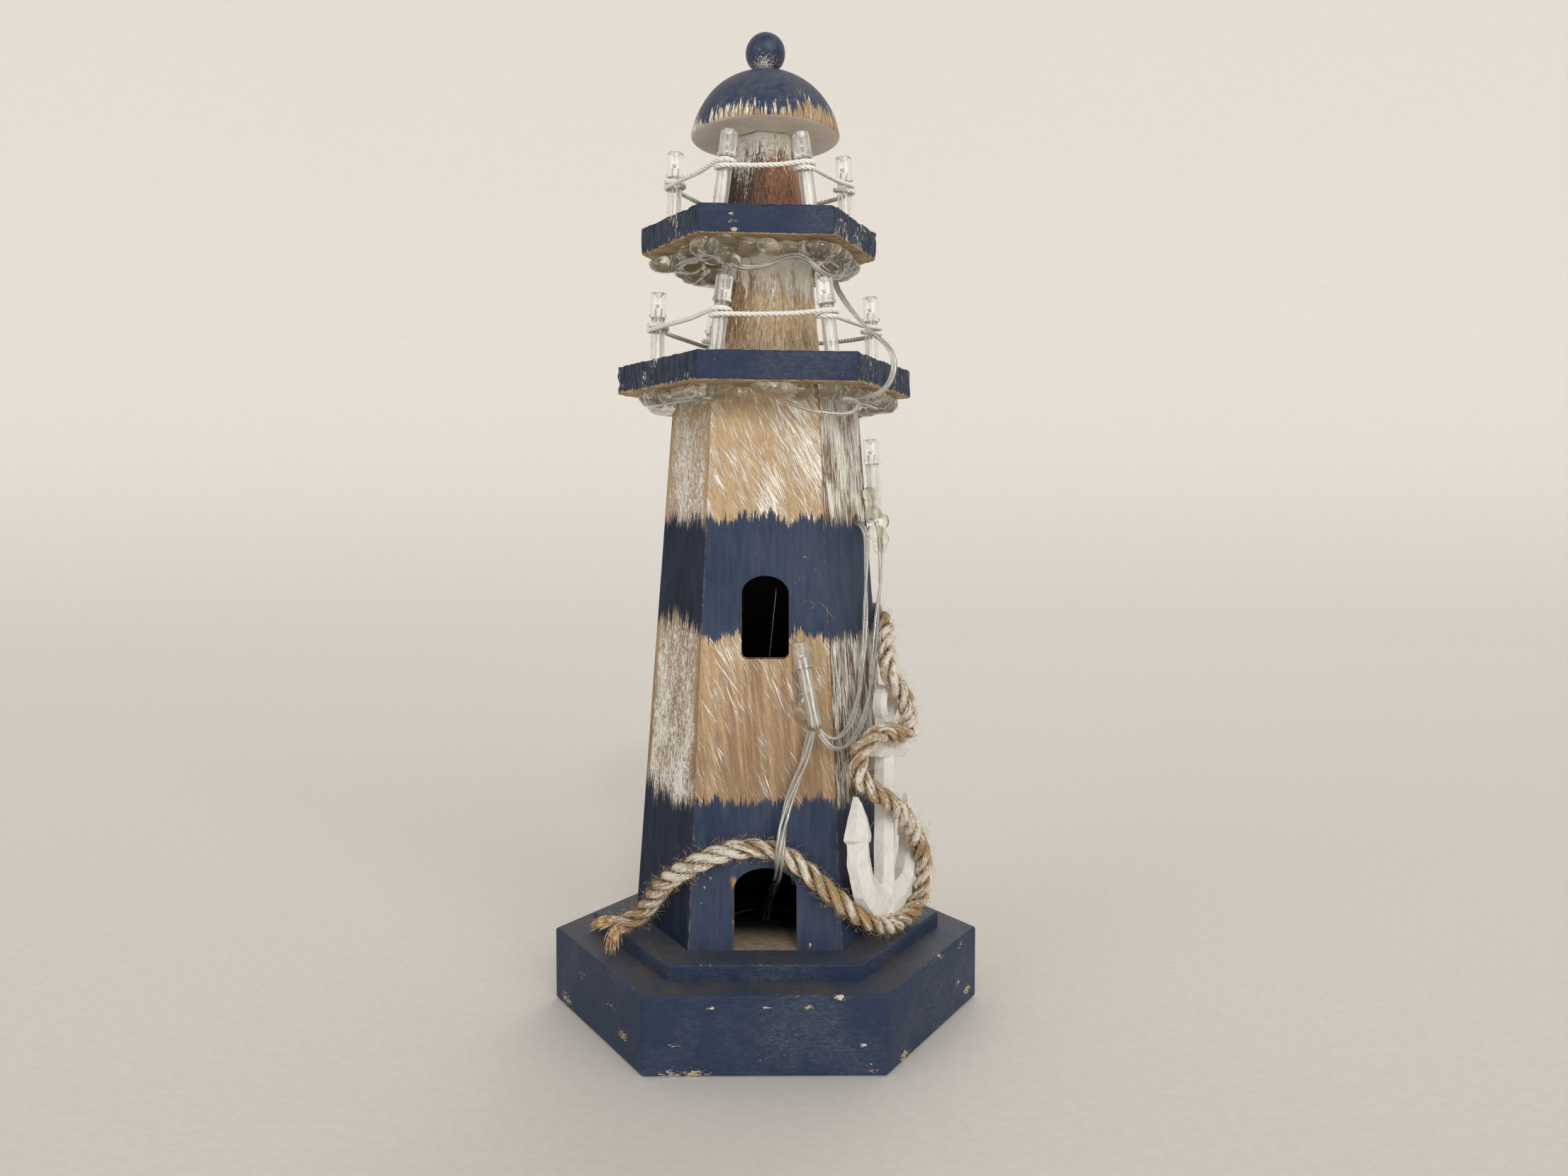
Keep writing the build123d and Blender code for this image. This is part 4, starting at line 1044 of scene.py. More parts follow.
def hair_finish(name, base, pale):
    """Single fibres that differ in tone from place to place."""
    finish = Finish(name)
    patch = finish.cloud(finish.place, 0.6, 2.0)
    skin = finish.mix(base, pale, patch.rise(0.38, 0.62))
    return finish.shade(Base_Color=skin, Roughness=0.8 + (patch - 0.5) * 0.2)


# Weathered blocks
def ring_points(corners, inset, radius, per_side, per_arc):
    """An outline moved inwards and rounded, with how far each point lies from a corner."""
    count = len(corners)
    normals = []
    for index, corner in enumerate(corners):
        side = (corners[(index + 1) % count] - corner).normalized()
        normals.append(Vector((side.y, -side.x)))
    cores = []
    for index, corner in enumerate(corners):
        before, after = normals[index - 1], normals[index]
        push = (before + after) / (1 + before.dot(after))
        cores.append(corner - push * (inset + radius))
    points = []
    for index in range(count):
        before, after = normals[index - 1], normals[index]
        for step in range(per_arc):
            share = (step + 0.5) / per_arc
            direction = before.lerp(after, share).normalized()
            points.append((cores[index] + direction * radius, 0.0, index))
        start = cores[index] + after * radius
        end = cores[(index + 1) % count] + after * radius
        for step in range(per_side):
            share = step / (per_side - 1)
            reach = min(share, 1 - share) * (end - start).length
            points.append((start.lerp(end, share), reach, index))
    return points


def block_mesh(node, edge_radius, cell, wear, rough_sides=()):
    """A fine closed mesh of a straight-sided block, with rounded, nicked edges and rough end grain."""
    low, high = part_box(node)
    foot = plan_corners(node, False)
    head = plan_corners(node, True)
    per_side = max(8, int((foot[1] - foot[0]).length / cell))
    straight = high.z - low.z - 2 * edge_radius
    rows = max(4, int(straight / cell))
    caps = max(4, int((foot[0] - foot[3]).length / 2 / cell / 1.5))
    quarter = [math.radians(90 * step / 4) for step in range(5)]
    levels = [("foot", share / caps, edge_radius, low.z) for share in range(1, caps)]
    for angle in quarter[:-1]:
        lift = edge_radius * (1 - math.cos(angle))
        levels.append(("side", 1, edge_radius * (1 - math.sin(angle)), low.z + lift))
    for step in range(rows + 1):
        levels.append(("side", 1, 0.0, low.z + edge_radius + straight * step / rows))
    for angle in quarter[1:]:
        sink = edge_radius * (1 - math.sin(angle))
        levels.append(("side", 1, edge_radius * (1 - math.cos(angle)), high.z - sink))
    levels += [("head", share / caps, edge_radius, high.z) for share in range(caps - 1, 0, -1)]
    middle = sum(foot, Vector((0, 0))) / len(foot)
    shape = bmesh.new()
    marks = ("edge", "facing", "rise", "drop", "end_grain")
    layers = {name: shape.verts.layers.float.new(name) for name in marks}
    rings = []
    for kind, share, inset, z in levels:
        blend = (z - low.z) / (high.z - low.z)
        corners = [a.lerp(b, blend) for a, b in zip(foot, head)]
        ring = []
        for point, reach, side in ring_points(corners, inset, edge_radius, per_side, 3):
            flat = middle + (point - middle) * share
            vertex = shape.verts.new((*flat, z))
            inner = (1 - share) * (point - middle).length
            upright = min(z - low.z, high.z - z)
            vertex[layers["edge"]] = (inner if kind != "side" else min(reach, upright)) / MM
            vertex[layers["facing"]] = {"foot": -1.0, "side": 0.0, "head": 1.0}[kind]
            vertex[layers["rise"]] = (z - low.z) / MM
            vertex[layers["drop"]] = (high.z - z) / MM
            vertex[layers["end_grain"]] = 1.0 if kind == "side" and side in rough_sides else 0.0
            ring.append(vertex)
        rings.append(ring)
    join_rings(shape, rings)
    shape.normal_update()
    for vertex in shape.verts:
        place = vertex.co / MM
        near = max(0.0, 1 - vertex[layers["edge"]] / WORN_BAND)
        nick = max(0.0, noise.noise(place * 0.33) - 0.12) * near * wear
        fibre = noise.noise(Vector((place.x * 1.1, place.y * 1.1, place.z * 0.16)))
        groove = (fibre - 0.35) * 0.32 * vertex[layers["end_grain"]]
        swell = noise.noise(place * 0.06) * 0.12
        vertex.co += vertex.normal * (swell + groove - nick) * MM
    return to_mesh(shape, node)


# Hot glue
def glue_mesh(name, drops, ceiling=None):
    """Drops (place, radius, flattening) that run together, cut flat under a ceiling."""
    data = bpy.data.metaballs.new(name)
    data.resolution = 0.55
    data.threshold = 0.12
    for place, radius, flat in drops:
        drop = data.elements.new(type="ELLIPSOID")
        drop.co = place / MM
        drop.radius = radius / MM * 1.5
        drop.size_x = drop.size_y = 1.0
        drop.size_z = flat
    holder = bpy.data.objects.new(name, data)
    bpy.context.scene.collection.objects.link(holder)
    mesh = evaluated_mesh(holder)
    mesh.transform(Matrix.Scale(MM, 4))
    for vertex in mesh.vertices:
        ripple = Vector(noise.noise_vector(vertex.co / MM * 0.22)) * 0.5
        drip = Vector(noise.noise_vector(vertex.co * Vector((0.9, 0.9, 0.25)) / MM)) * 0.28
        vertex.co += (ripple + drip) * MM
        if ceiling is not None:
            vertex.co.z = min(vertex.co.z, ceiling)
    mesh.shade_smooth()
    return mesh


class MakeStage(bpy.types.Operator):
    """Floor and backdrop, world, soft suns and the camera."""

    bl_idname = "lighthouse.make_stage"
    bl_label = "Stage"

    def execute(self, context):
        scene = context.scene
        scene.view_settings.view_transform = "Standard"
        self.add_floor(scene)
        self.add_world(scene)
        self.add_suns(scene)
        self.add_camera(scene)
        return {"FINISHED"}

    def add_floor(self, scene):
        """A pale sweep of paper that is open when seen from below."""
        colours = scene.lighthouse_colours
        finish = Finish("floor_paper")
        fibre = finish.cloud(finish.place, 0.35, 4.0)
        pale = toned(colours.floor, 1.04)
        paper = finish.shade(Base_Color=finish.mix(colours.floor, pale, fibre.rise(0.4, 0.6)), Roughness=0.9)
        below = finish.node("ShaderNodeNewGeometry", output="Backfacing")
        sheet = Wire(finish, finish.shader.outputs["BSDF"])
        clear = finish.node("ShaderNodeBsdfTransparent")
        open_sheet = finish.node("ShaderNodeMixShader", {}, {0: below, 1: sheet, 2: clear})
        finish.feed(finish.tree.nodes["Material Output"].inputs["Surface"], open_sheet)
        shape = bmesh.new()
        rows = []
        for y, z in self.sweep_line():
            rows.append([shape.verts.new((x, y, z)) for x in (-6.0, 6.0)])
        for near, far in zip(rows, rows[1:]):
            shape.faces.new((near[0], near[1], far[1], far[0]))
        mesh = bpy.data.meshes.new("floor")
        shape.to_mesh(mesh)
        shape.free()
        mesh.shade_smooth()
        mesh.materials.append(paper)
        floor = bpy.data.objects.new("floor", mesh)
        scene.collection.objects.link(floor)
        floor.visible_shadow = False

    def add_world(self, scene):
        """Even light from all round, a little brighter where it is seen or mirrored."""
        world = bpy.data.worlds.new("soft_room")
        world.use_nodes = True
        graph = Graph(world.node_tree)
        path = graph.node("ShaderNodeLightPath")
        seen = path.out("Is Camera Ray").highest(path.out("Is Transmission Ray"))
        shader = world.node_tree.nodes["Background"]
        graph.feed(shader.inputs["Color"], (1.0, 0.975, 0.94))
        graph.feed(shader.inputs["Strength"], 0.46 + seen.highest(path.out("Is Glossy Ray")) * 0.20)
        scene.world = world

    def add_suns(self, scene):
        """The soft suns."""
        for name, (source, strength, colour, spread) in SUNS.items():
            data = bpy.data.lights.new(name, "SUN")
            data.energy = strength
            data.angle = math.radians(spread)
            data.color = colour
            sun = bpy.data.objects.new(name, data)
            sun.rotation_euler = (-Vector(source)).to_track_quat("-Z", "Y").to_euler()
            scene.collection.objects.link(sun)

    def add_camera(self, scene):
        """The camera, in front of the tower and about level with its middle."""
        data = bpy.data.cameras.new("camera")
        data.sensor_width = CAMERA_FILM
        data.lens = CAMERA_LENS
        data.clip_start = 0.01
        camera = bpy.data.objects.new("camera", data)
        camera.location = CAMERA_PLACE
        camera.rotation_euler = (math.radians(90) - CAMERA_DIP, 0.0, CAMERA_TURN)
        scene.collection.objects.link(camera)
        scene.camera = camera

    def sweep_line(self):
        """The floor's line in Y and Z: level, then curved up into the backdrop."""
        level, bend, far = -0.2 * MM, 0.6, 1.1
        line = [(-6.0, level)]
        for step in range(17):
            angle = math.radians(90 * step / 16)
            line.append((far + bend * math.sin(angle), level + bend * (1 - math.cos(angle))))
        return line + [(far + bend, 5.0)]


class MakeTrees(bpy.types.Operator):
    """The node trees that twist strands and grow fibres."""

    bl_idname = "lighthouse.make_trees"
    bl_label = "Strand and fibre trees"

    def execute(self, context):
        strand_tree()
        fibre_tree()
        return {"FINISHED"}


class MakeLeads(bpy.types.Operator):
    """Clear leads with silver cores: free stretches and the rings under the decks."""

    bl_idname = "lighthouse.make_leads"
    bl_label = "Leads"

    def execute(self, context):
        sizes = context.scene.lighthouse_sizes
        jacket = clear_finish("clear_jacket", (0.92, 0.91, 0.87), 0.06, 0.94, 1.3)
        core = metal_finish("silver_core", (0.62, 0.61, 0.58), 0.35)
        # Name, route, width, strands, length, stiffness and lay of the free leads, in millimetres
        free = (
            ("deck_link_lead", DECK_LINK, 1.8, 2, 58.6, "medium", "loose"),
            ("lower_slack_lead", LOWER_SLACK, 1.2, 1, 35.6, "limp", "loose"),
            ("upper_slack_lead", UPPER_SLACK, 1.8, 3, 56.5, "limp", "loose"),
            ("wall_lead", WALL_LEAD, 1.8, 2, 141.8, "medium", "loose"),
            ("lamp_lead", LAMP_LEAD, 1.8, 2, 87.8, "medium", "loose"),
            ("door_lead", DOOR_LEAD, 2.0, 4, 99.2, "medium", "loose"),
        )
        for name, route, width, strands, long, stiffness, lay in free:
            points = [Vector(point) * MM for point in route]
            lead, wires, path = self.add_lead(name, points, width * MM / 2, strands, jacket, core, sizes)
        rings = (
            ("lower_ring_lead", sizes.lower_ring_radius, sizes.lower_ring_height, 0.0, sizes.lower_turn),
            ("upper_ring_lead", sizes.upper_ring_radius, sizes.upper_ring_height,
             sizes.upper_shift, sizes.upper_turn),
        )
        for name, radius, height, shift, turn in rings:
            points = []
            # Five sixths of a turn, open in front
            for step in range(26):
                angle = turn + math.radians(-60 + 12 * step)
                sway = 0.5 * MM * math.sin(step * 1.7)
                points.append(Vector((
                    shift + (radius + sway) * math.cos(angle), (radius + sway) * math.sin(angle), height
                )))
            self.add_lead(name, points, 1.0 * MM, 2, jacket, core, sizes)
        return {"FINISHED"}

    def add_lead(self, name, points, radius, strands, jacket, core, sizes):
        """A lead of side-by-side strands, and the cores inside them, along one smooth line."""
        strand = radius if strands == 1 else radius * (0.5 if strands == 2 else 0.46)
        offset = radius - strand + (sizes.bundle_slack if strands > 3 else 0.0)
        line = route_line(name, points)
        path = line_points(line)
        mesh = twist(line, jacket, strands, strand, offset, sizes.lead_lay, LEAD_STEP, 10)
        lead = add_piece(name, mesh, jacket, [name])
        line = route_line(name + "_line", points)
        mesh = twist(line, core, strands, strand * 0.42, offset, sizes.lead_lay, LEAD_STEP, 6)
        wires = add_piece(name + "_cores", mesh, core)
        return lead, wires, path


class MakeRope(bpy.types.Operator):
    """Jute rope over the anchor and the door, its loose fibres and its frayed end."""

    bl_idname = "lighthouse.make_rope"
    bl_label = "Jute rope"

    def execute(self, context):
        sizes = context.scene.lighthouse_sizes
        colours = context.scene.lighthouse_colours
        pale = toned(colours.jute, 2.8, 0.06)
        # deep is the tone of the painted shade between the strands
        look = {
            "base": colours.jute, "pale": pale, "deep": toned(colours.jute, 0.22),
            "threads": 22.0, "wind": 1.4, "white": 0.507, "depth": 0.7,
        }
        jute = fibre_finish("jute_strands", colours, look)
        hair = hair_finish("jute_fibre", colours.jute, pale)
        points = [Vector(point) * MM for point in JUTE_ROPE]
        line = route_line("jute_rope", points)
        path = line_points(line)
        full = sizes.rope_radius + sizes.rope_puff
        strand = full * 0.515
        mesh = twist(line, jute, 3, strand, full - strand, sizes.rope_lay, ROPE_STEP, 14)
        rope = add_piece("jute_rope", mesh, jute, ["jute_rope"])
        holder = bpy.data.objects.new("jute_hairs", mesh.copy())
        bpy.context.scene.collection.objects.link(holder)
        values = {
            "Density": 900000.0, "Length": sizes.rope_hair, "Radius": 0.024 * MM, "Seed": 4,
            "Material": hair,
        }
        hairs = run_tree(holder, bpy.data.node_groups["Loose fibres"], values)
        fuzz = add_piece("jute_hairs", hairs, hair)
        fray = add_piece("jute_fray", self.fray_mesh(path), hair)
        return {"FINISHED"}

    def fray_mesh(self, path):
        """Two tufts of cut fibre at the rope's free end: one along the step, one over its edge."""
        draw = random.Random(11)
        end = path[-1]
        ahead = (path[-1] - path[-6]).normalized()
        step_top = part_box("base_step")[1].z
        shape = bmesh.new()
        # Offset of a tuft's root and the line that it follows, in millimetres
        tufts = (
            (Vector((-0.4, 0.5, 0.7)), [(-1.6, 0.6, 0.4), (-3.6, 0.4, 0.2), (-5.6, -0.4, -0.6)]),
            (Vector((0.2, -0.7, -0.4)), [(-0.6, -1.6, -0.8), (-0.8, -3.4, -2.6), (-0.9, -4.6, -5.0)]),
        )
        for offset, line in tufts:
            root = end - ahead * 3.0 * MM + offset * MM
            for _ in range(120):
                scatter = Vector((draw.gauss(0, 1), draw.gauss(0, 1), draw.gauss(0, 1)))
                reach = draw.uniform(0.65, 1.1)
                points = [root + scatter * 0.45 * MM]
                for share, (x, y, z) in enumerate(line, 1):
                    stray = scatter * (0.45 + 0.16 * share) * MM
                    points.append(root + ahead * 2.0 * MM + Vector((x, y, z)) * reach * MM + stray)
                if line[-1][2] > -2:
                    for point in points:
                        point.z = max(point.z, step_top + 0.15 * MM)
                add_tube(shape, points, [0.13 * MM, 0.12 * MM, 0.10 * MM, 0.05 * MM], 4)
        return to_mesh(shape, "jute_fray")


class MakeBase(bpy.types.Operator):
    """Plinth and step: worn navy on the CAD blocks."""

    bl_idname = "lighthouse.make_base"
    bl_label = "Base"

    def execute(self, context):
        colours = context.scene.lighthouse_colours
        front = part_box("base_plinth")[0].y / MM
        right = Vector((math.sqrt(0.75), -0.5, 0)) * -front
        left = Vector((-math.sqrt(0.75), -0.5, 0)) * -front
        # Chips on each face: place from the face's middle, reach and strength
        chips = (
            (Vector((0, front, 0)), (
                ((-26, 0, 1.0), 7.0, 0.20), ((-18, 0, 0.8), 6.0, 0.22), ((27, 0, 8.6), 3.4, 0.26),
                ((-25, 0, 8.6), 3.4, 0.22), ((-14.6, 0, 19.0), 2.6, 0.26), ((0.4, 0, 18.8), 2.2, 0.24),
                ((12, 0, 19.2), 2.6, 0.24), ((20.4, 0, 21.6), 3.4, 0.30), ((30, 0, 1.6), 3.4, 0.18),
                ((28, 0, 3.4), 2.6, 0.2),
            )),
            (right, (
                ((2, 3.5, 21.4), 7.0, 0.20), ((10, 17.3, 20.4), 7.0, 0.20), ((13, 22.5, 4.5), 7.0, 0.24),
                ((-11, -19, 1.6), 6.0, 0.24), ((9, 15.6, 9.0), 6.0, 0.18),
            )),
            (left, (
                ((6, -10.4, 12.0), 9.0, 0.17), ((10, -17.3, 7.0), 6.0, 0.18), ((-5, 8.7, 14.0), 7.0, 0.16),
                ((-12, 20.8, 2.5), 8.0, 0.24),
            )),
        )
        spots = [
            (middle + Vector(place), reach, strength)
            for middle, marks in chips for place, reach, strength in marks
        ]
        dress("base_plinth", hexagon_finish("plinth_paint", "base_plinth", colours, spots))
        dress("base_step", hexagon_finish("step_paint", "base_step", colours))
        return {"FINISHED"}


class MakeTower(bpy.types.Operator):
    """Six tapered boards, each with its own bands, grain and whitewash."""

    bl_idname = "lighthouse.make_tower"
    bl_label = "Tower"

    def execute(self, context):
        sizes = context.scene.lighthouse_sizes
        colours = context.scene.lighthouse_colours
        # Each look: bare and darker wood, faint whitewash, and how strong the painted shadow beside the
        # streaks is
        pale = {"raw": (0.53, 0.365, 0.195), "brown": (0.25, 0.155, 0.085), "haze": 0.05, "crease": 0.15}
        dull = {"raw": (0.52, 0.38, 0.23), "brown": (0.29, 0.19, 0.11), "haze": 0.08, "crease": 0.25}
        deep = {"raw": (0.27, 0.155, 0.08), "brown": (0.06, 0.032, 0.018), "haze": 0.02, "crease": 0.7}
        diagonal = {
            "fleck": 3.4, "stretch": 0.08, "wash": 0.600, "margin": 0.5, "bristle": 13, "broad": 8,
            "sway": 1.0, "climb": 0.0006,
        }
        stipple = {
            "fleck": 2.1, "stretch": 0.6, "wash": 0.548, "margin": 4.0, "bristle": 24, "broad": 12,
            "sway": 1.0, "climb": -0.0003,
        }
        uprights = {
            "fleck": 2.2, "stretch": 0.09, "wash": 0.54, "margin": 0.5, "bristle": 16, "broad": 8,
            "sway": 1.0, "climb": 0.0003,
        }
        bare_tan = (0.33, 0.165, 0.07)
        # Chips on the front board: along and up from its foot, reach and the colour under them
        chips = [(-9.1, 19.4, 0.62, bare_tan), (-9.2, 8.0, 0.35, bare_tan)]
        chips += [(*spot, colours.cream) for spot in (
            (-17.6, 18.0, 0.20), (-15.8, 20.4, 0.18), (-18.4, 13.6, 0.12), (13.0, 1.6, 0.28),
            (17.6, 14.6, 0.2),
        )]
        # Board, heights where navy and bare wood meet, slant of its marks in degrees, and its look
        boards = (
            ("front_panel", (42.7, 90.3, 124.6), 20, {"chips": chips, **pale, **diagonal}),
            # The front left board's navy is darkened as painted shade
            ("front_left_panel", (41.0, 92.6, 124.2), 3,
             {"crack": (-1.0, 107.0), "dim": 0.62, "sheen": 0.06, **dull, **stipple}),
            ("front_right_panel", (41.3, 89.0, 123.5), 0, {**deep, **uprights}),
            ("rear_left_panel", (42.0, 91.5, 124.0), 4, {**dull, **uprights}),
            ("rear_panel", (41.5, 90.0, 124.8), 16, {**pale, **diagonal}),
            ("rear_right_panel", (42.4, 91.0, 123.8), -4, {**deep, **stipple}),
        )
        for seed, (node, bands, slant, manner) in enumerate(boards, 1):
            look = {"node": node, "seed": seed, "bands": bands, "slant": slant, **manner}
            dress(node, board_finish(node + "_paint", look, colours, sizes.board_thick))
        return {"FINISHED"}


class MakeDecks(bpy.types.Operator):
    """Two hexagonal decks with rough end grain and ragged lower edges."""

    bl_idname = "lighthouse.make_decks"
    bl_label = "Decks"

    def execute(self, context):
        colours = context.scene.lighthouse_colours
        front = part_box("upper_deck")[0].y / MM
        # Chips on the upper deck's front: place, reach and strength
        spots = [
            (Vector((-9.3, front + 1.2, 237.0)), 2.6, 0.26), (Vector((-9.0, front + 1.2, 235.0)), 2.6, 0.29),
            (Vector((-8.6, front + 1.2, 232.8)), 2.8, 0.32),
        ]
        paint = block_finish("deck_paint", colours, spots)
        for node in ("lower_deck", "upper_deck"):
            corners = plan_corners(node, False)
            rough = []
            for index, corner in enumerate(corners):
                side = corners[(index + 1) % len(corners)] - corner
                if abs(side.y) > abs(side.x):
                    rough.append(index)
            mesh = block_mesh(node, 0.6 * MM, 0.7 * MM, 1.0, rough)
            add_piece(node, mesh, paint, [node])
        return {"FINISHED"}


class MakeColumns(bpy.types.Operator):
    """Stained columns between the decks and under the dome, and the hidden dowels."""

    bl_idname = "lighthouse.make_columns"
    bl_label = "Columns"

    def execute(self, context):
        colours = context.scene.lighthouse_colours
        # The last value of each look is the direction of the painted light that makes one side paler and the
        # other darker
        tan = {
            "dark": (0.11, 0.057, 0.028), "mid": (0.36, 0.225, 0.115), "light": (0.66, 0.48, 0.28),
            "run": 12.0, "top": 0.21, "hair": 0.565, "light_side": (0.55, -0.32, 0.0),
        }
        umber = {
            "dark": (0.014, 0.009, 0.007), "mid": (0.09, 0.042, 0.024), "light": (0.33, 0.155, 0.075),
            "run": 13.0, "top": 0.13, "hair": 0.61, "light_side": (0.9, -0.35, 0.0),
        }
        for node, look in (("mid_column", tan), ("top_column", umber)):
            mesh = block_mesh(node, 0.9 * MM, 0.6 * MM, 0.7)
            add_piece(node, mesh, column_finish(node + "_stain", colours, look), [node])
        dowel = plain_wood_finish("dowel_wood", colours)
        dress("spine_dowel", dowel)
        dress("finial_dowel", dowel)
        return {"FINISHED"}


class MakeRoof(bpy.types.Operator):
    """Domed roof and the ball on it."""

    bl_idname = "lighthouse.make_roof"
    bl_label = "Roof"

    def execute(self, context):
        colours = context.scene.lighthouse_colours
        self.add_dome(colours)
        self.add_ball(colours)
        return {"FINISHED"}

    def add_dome(self, colours):
        """A cap of a sphere on a low rim, with a flat seat for the ball."""
        low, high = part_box("dome_roof")
        radius = (high.x - low.x) / 2
        height = high.z - low.z
        rim = 0.8 * MM
        seat = 2.5 * MM
        rise = height - rim
        drop = (radius**2 - seat**2 + rise**2) / (2 * rise)
        sphere = math.hypot(drop - rise, radius)
        first = math.asin((drop - rise) / sphere)
        last = math.acos(seat / sphere)
        profile = [(0, 0.0)] + [(radius * share / 12, 0.0) for share in range(1, 12)]
        profile += [(radius - 0.4 * MM, 0.02 * MM), (radius - 0.1 * MM, 0.25 * MM)]
        for step in range(33):
            angle = first + (last - first) * step / 32
            profile.append((sphere * math.cos(angle), height - drop + sphere * math.sin(angle)))
        profile += [(seat * 0.5, height), (0, height)]
        shape = bmesh.new()
        middle = Vector(((low.x + high.x) / 2, (low.y + high.y) / 2, low.z))
        add_lathe(shape, profile, 128, Matrix.Translation(middle))
        shape.normal_update()
        for vertex in shape.verts:
            place = vertex.co / MM
            vertex.co += vertex.normal * noise.noise(place * 0.11) * 0.14 * MM
        paint = dome_finish("dome_paint", colours)
        add_piece("dome_roof", to_mesh(shape, "dome_roof"), paint, ["dome_roof"])

    def add_ball(self, colours):
        """A ball, cut flat where it sits."""
        low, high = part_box("ball_finial")
        radius = (high.x - low.x) / 2
        middle = (low + high) / 2
        middle.z = high.z - radius
        shape = bmesh.new()
        bmesh.ops.create_icosphere(shape, subdivisions=5, radius=radius, matrix=Matrix.Translation(middle))
        for vertex in shape.verts:
            out = (vertex.co - middle).normalized()
            vertex.co += out * noise.noise(vertex.co / MM * 0.2) * 0.12 * MM
            vertex.co.z = max(vertex.co.z, low.z)
        paint = ball_finish("ball_paint", colours)
        add_piece("ball_finial", to_mesh(shape, "ball_finial"), paint, ["ball_finial"])


class MakeLamps(bpy.types.Operator):
    """Fourteen lamps: clear bulbs with their lead frames, clear sleeves and tinned legs."""

    bl_idname = "lighthouse.make_lamps"
    bl_label = "Lamps"

    def execute(self, context):
        sizes = context.scene.lighthouse_sizes
        colours = context.scene.lighthouse_colours
        bulb = clear_finish("clear_bulb", (0.98, 0.975, 0.95), 0.06, 0.9, 1.18)
        sleeve = clear_finish("clear_sleeve", colours.sleeve, 0.07, 0.92, 1.16)
        legs = metal_finish("tinned_leg", (0.86, 0.84, 0.80), 0.35, 0.5)
        chip = metal_finish("gold_chip", (0.75, 0.52, 0.16), 0.35)
        for group, (places, tail, stem) in lamp_groups(sizes).items():
            shapes = {key: bmesh.new() for key in ("bulb", "sleeve", "leg", "chip")}
            for place in places:
                self.add_bulb(shapes["bulb"], place @ Matrix.Translation((0, 0, stem)), sizes)
                self.add_sleeve(shapes["sleeve"], place, tail, stem, sizes)
                self.add_legs(shapes["leg"], shapes["chip"], place, tail, stem, sizes)
            pieces = (
                ("bulb", f"{group}_lamp_bulbs", bulb, "clear_bulb", True),
                ("sleeve", f"{group}_lamp_sleeves", sleeve, "clear_sleeve", True),
                ("leg", f"{group}_lamp_legs", legs, "tinned_wire", True),
                ("chip", f"{group}_lamp_chips", chip, "tinned_wire", False),
            )
            for key, name, material, slot, stands in pieces:
                add_piece(name, to_mesh(shapes[key], name), material, [name] if stands else ())
        return {"FINISHED"}

    def add_bulb(self, shape, matrix, sizes):
        """A flanged bulb with a cone sunk in its flat top."""
        wide, top = sizes.bulb_radius, sizes.bulb_height
        brim = wide + 0.25 * MM
        flange = [
            (0, 0), (brim - 0.15 * MM, 0), (brim, 0.15 * MM), (brim, 0.85 * MM),
            (brim - 0.1 * MM, 1.0 * MM), (wide + 0.02 * MM, 1.05 * MM), (wide, 1.25 * MM),
        ]
        wall = [
            (wide, top * 0.5), (wide, top - 0.7 * MM), (wide - 0.08 * MM, top - 0.3 * MM),
            (wide - 0.28 * MM, top - 0.06 * MM), (wide - 0.5 * MM, top),
        ]
        cone = [
            (wide * 0.72, top - 0.12 * MM), (wide * 0.45, top - 0.75 * MM),
            (wide * 0.22, top - 1.35 * MM), (wide * 0.08, top - 1.62 * MM), (0, top - 1.68 * MM),
        ]
        add_lathe(shape, flange + wall + cone, 40, matrix)

    def add_sleeve(self, shape, place, tail, stem, sizes):
        """A clear tube, open at both ends, a little out of true."""
        outer, inner = sizes.sleeve_radius, sizes.sleeve_bore
        start, end = -tail, stem - 0.02 * MM
        rows = 14
        outside = [(outer, start + (end - start) * row / rows) for row in range(rows + 1)]
        inside = [(inner, start + (end - start) * row / rows) for row in range(rows, -1, -1)]
        add_lathe(shape, outside + inside + outside[:1], 28, place)
        bmesh.ops.remove_doubles(shape, verts=shape.verts, dist=0.0005 * MM)

    def add_legs(self, shape, chips, place, tail, stem, sizes):
        """Two legs, the posts that they end in inside the bulb, and the cup with its chip."""
        half = sizes.leg_spacing / 2
        top = stem + sizes.bulb_height * 0.52
        for side in (-1, 1):
            points = []
            for step in range(9):
                height = -tail - 0.4 * MM + (stem + tail) * step / 8
                bow = 0.12 * MM * math.sin(step * 1.3 + side)
                points.append(place @ Vector((side * half + bow, bow * 0.6, height)))
            points.append(place @ Vector((side * half, 0, top - 1.2 * MM)))
            add_tube(shape, points, sizes.leg_radius, 8)
        cup = [(0, -0.9), (0.4, -0.9), (0.7, 0), (0.55, 0), (0.4, -0.4), (0, -0.4)]
        dot = [(0, -0.39), (0.34, -0.39), (0.36, -0.26), (0.2, -0.12), (0, -0.08)]
        seat = place @ Matrix.Translation((-half * 0.35, 0, top))
        for target, profile, around in ((shape, cup, 16), (chips, dot, 14)):
            add_lathe(target, [(radius * MM, height * MM) for radius, height in profile], around, seat)


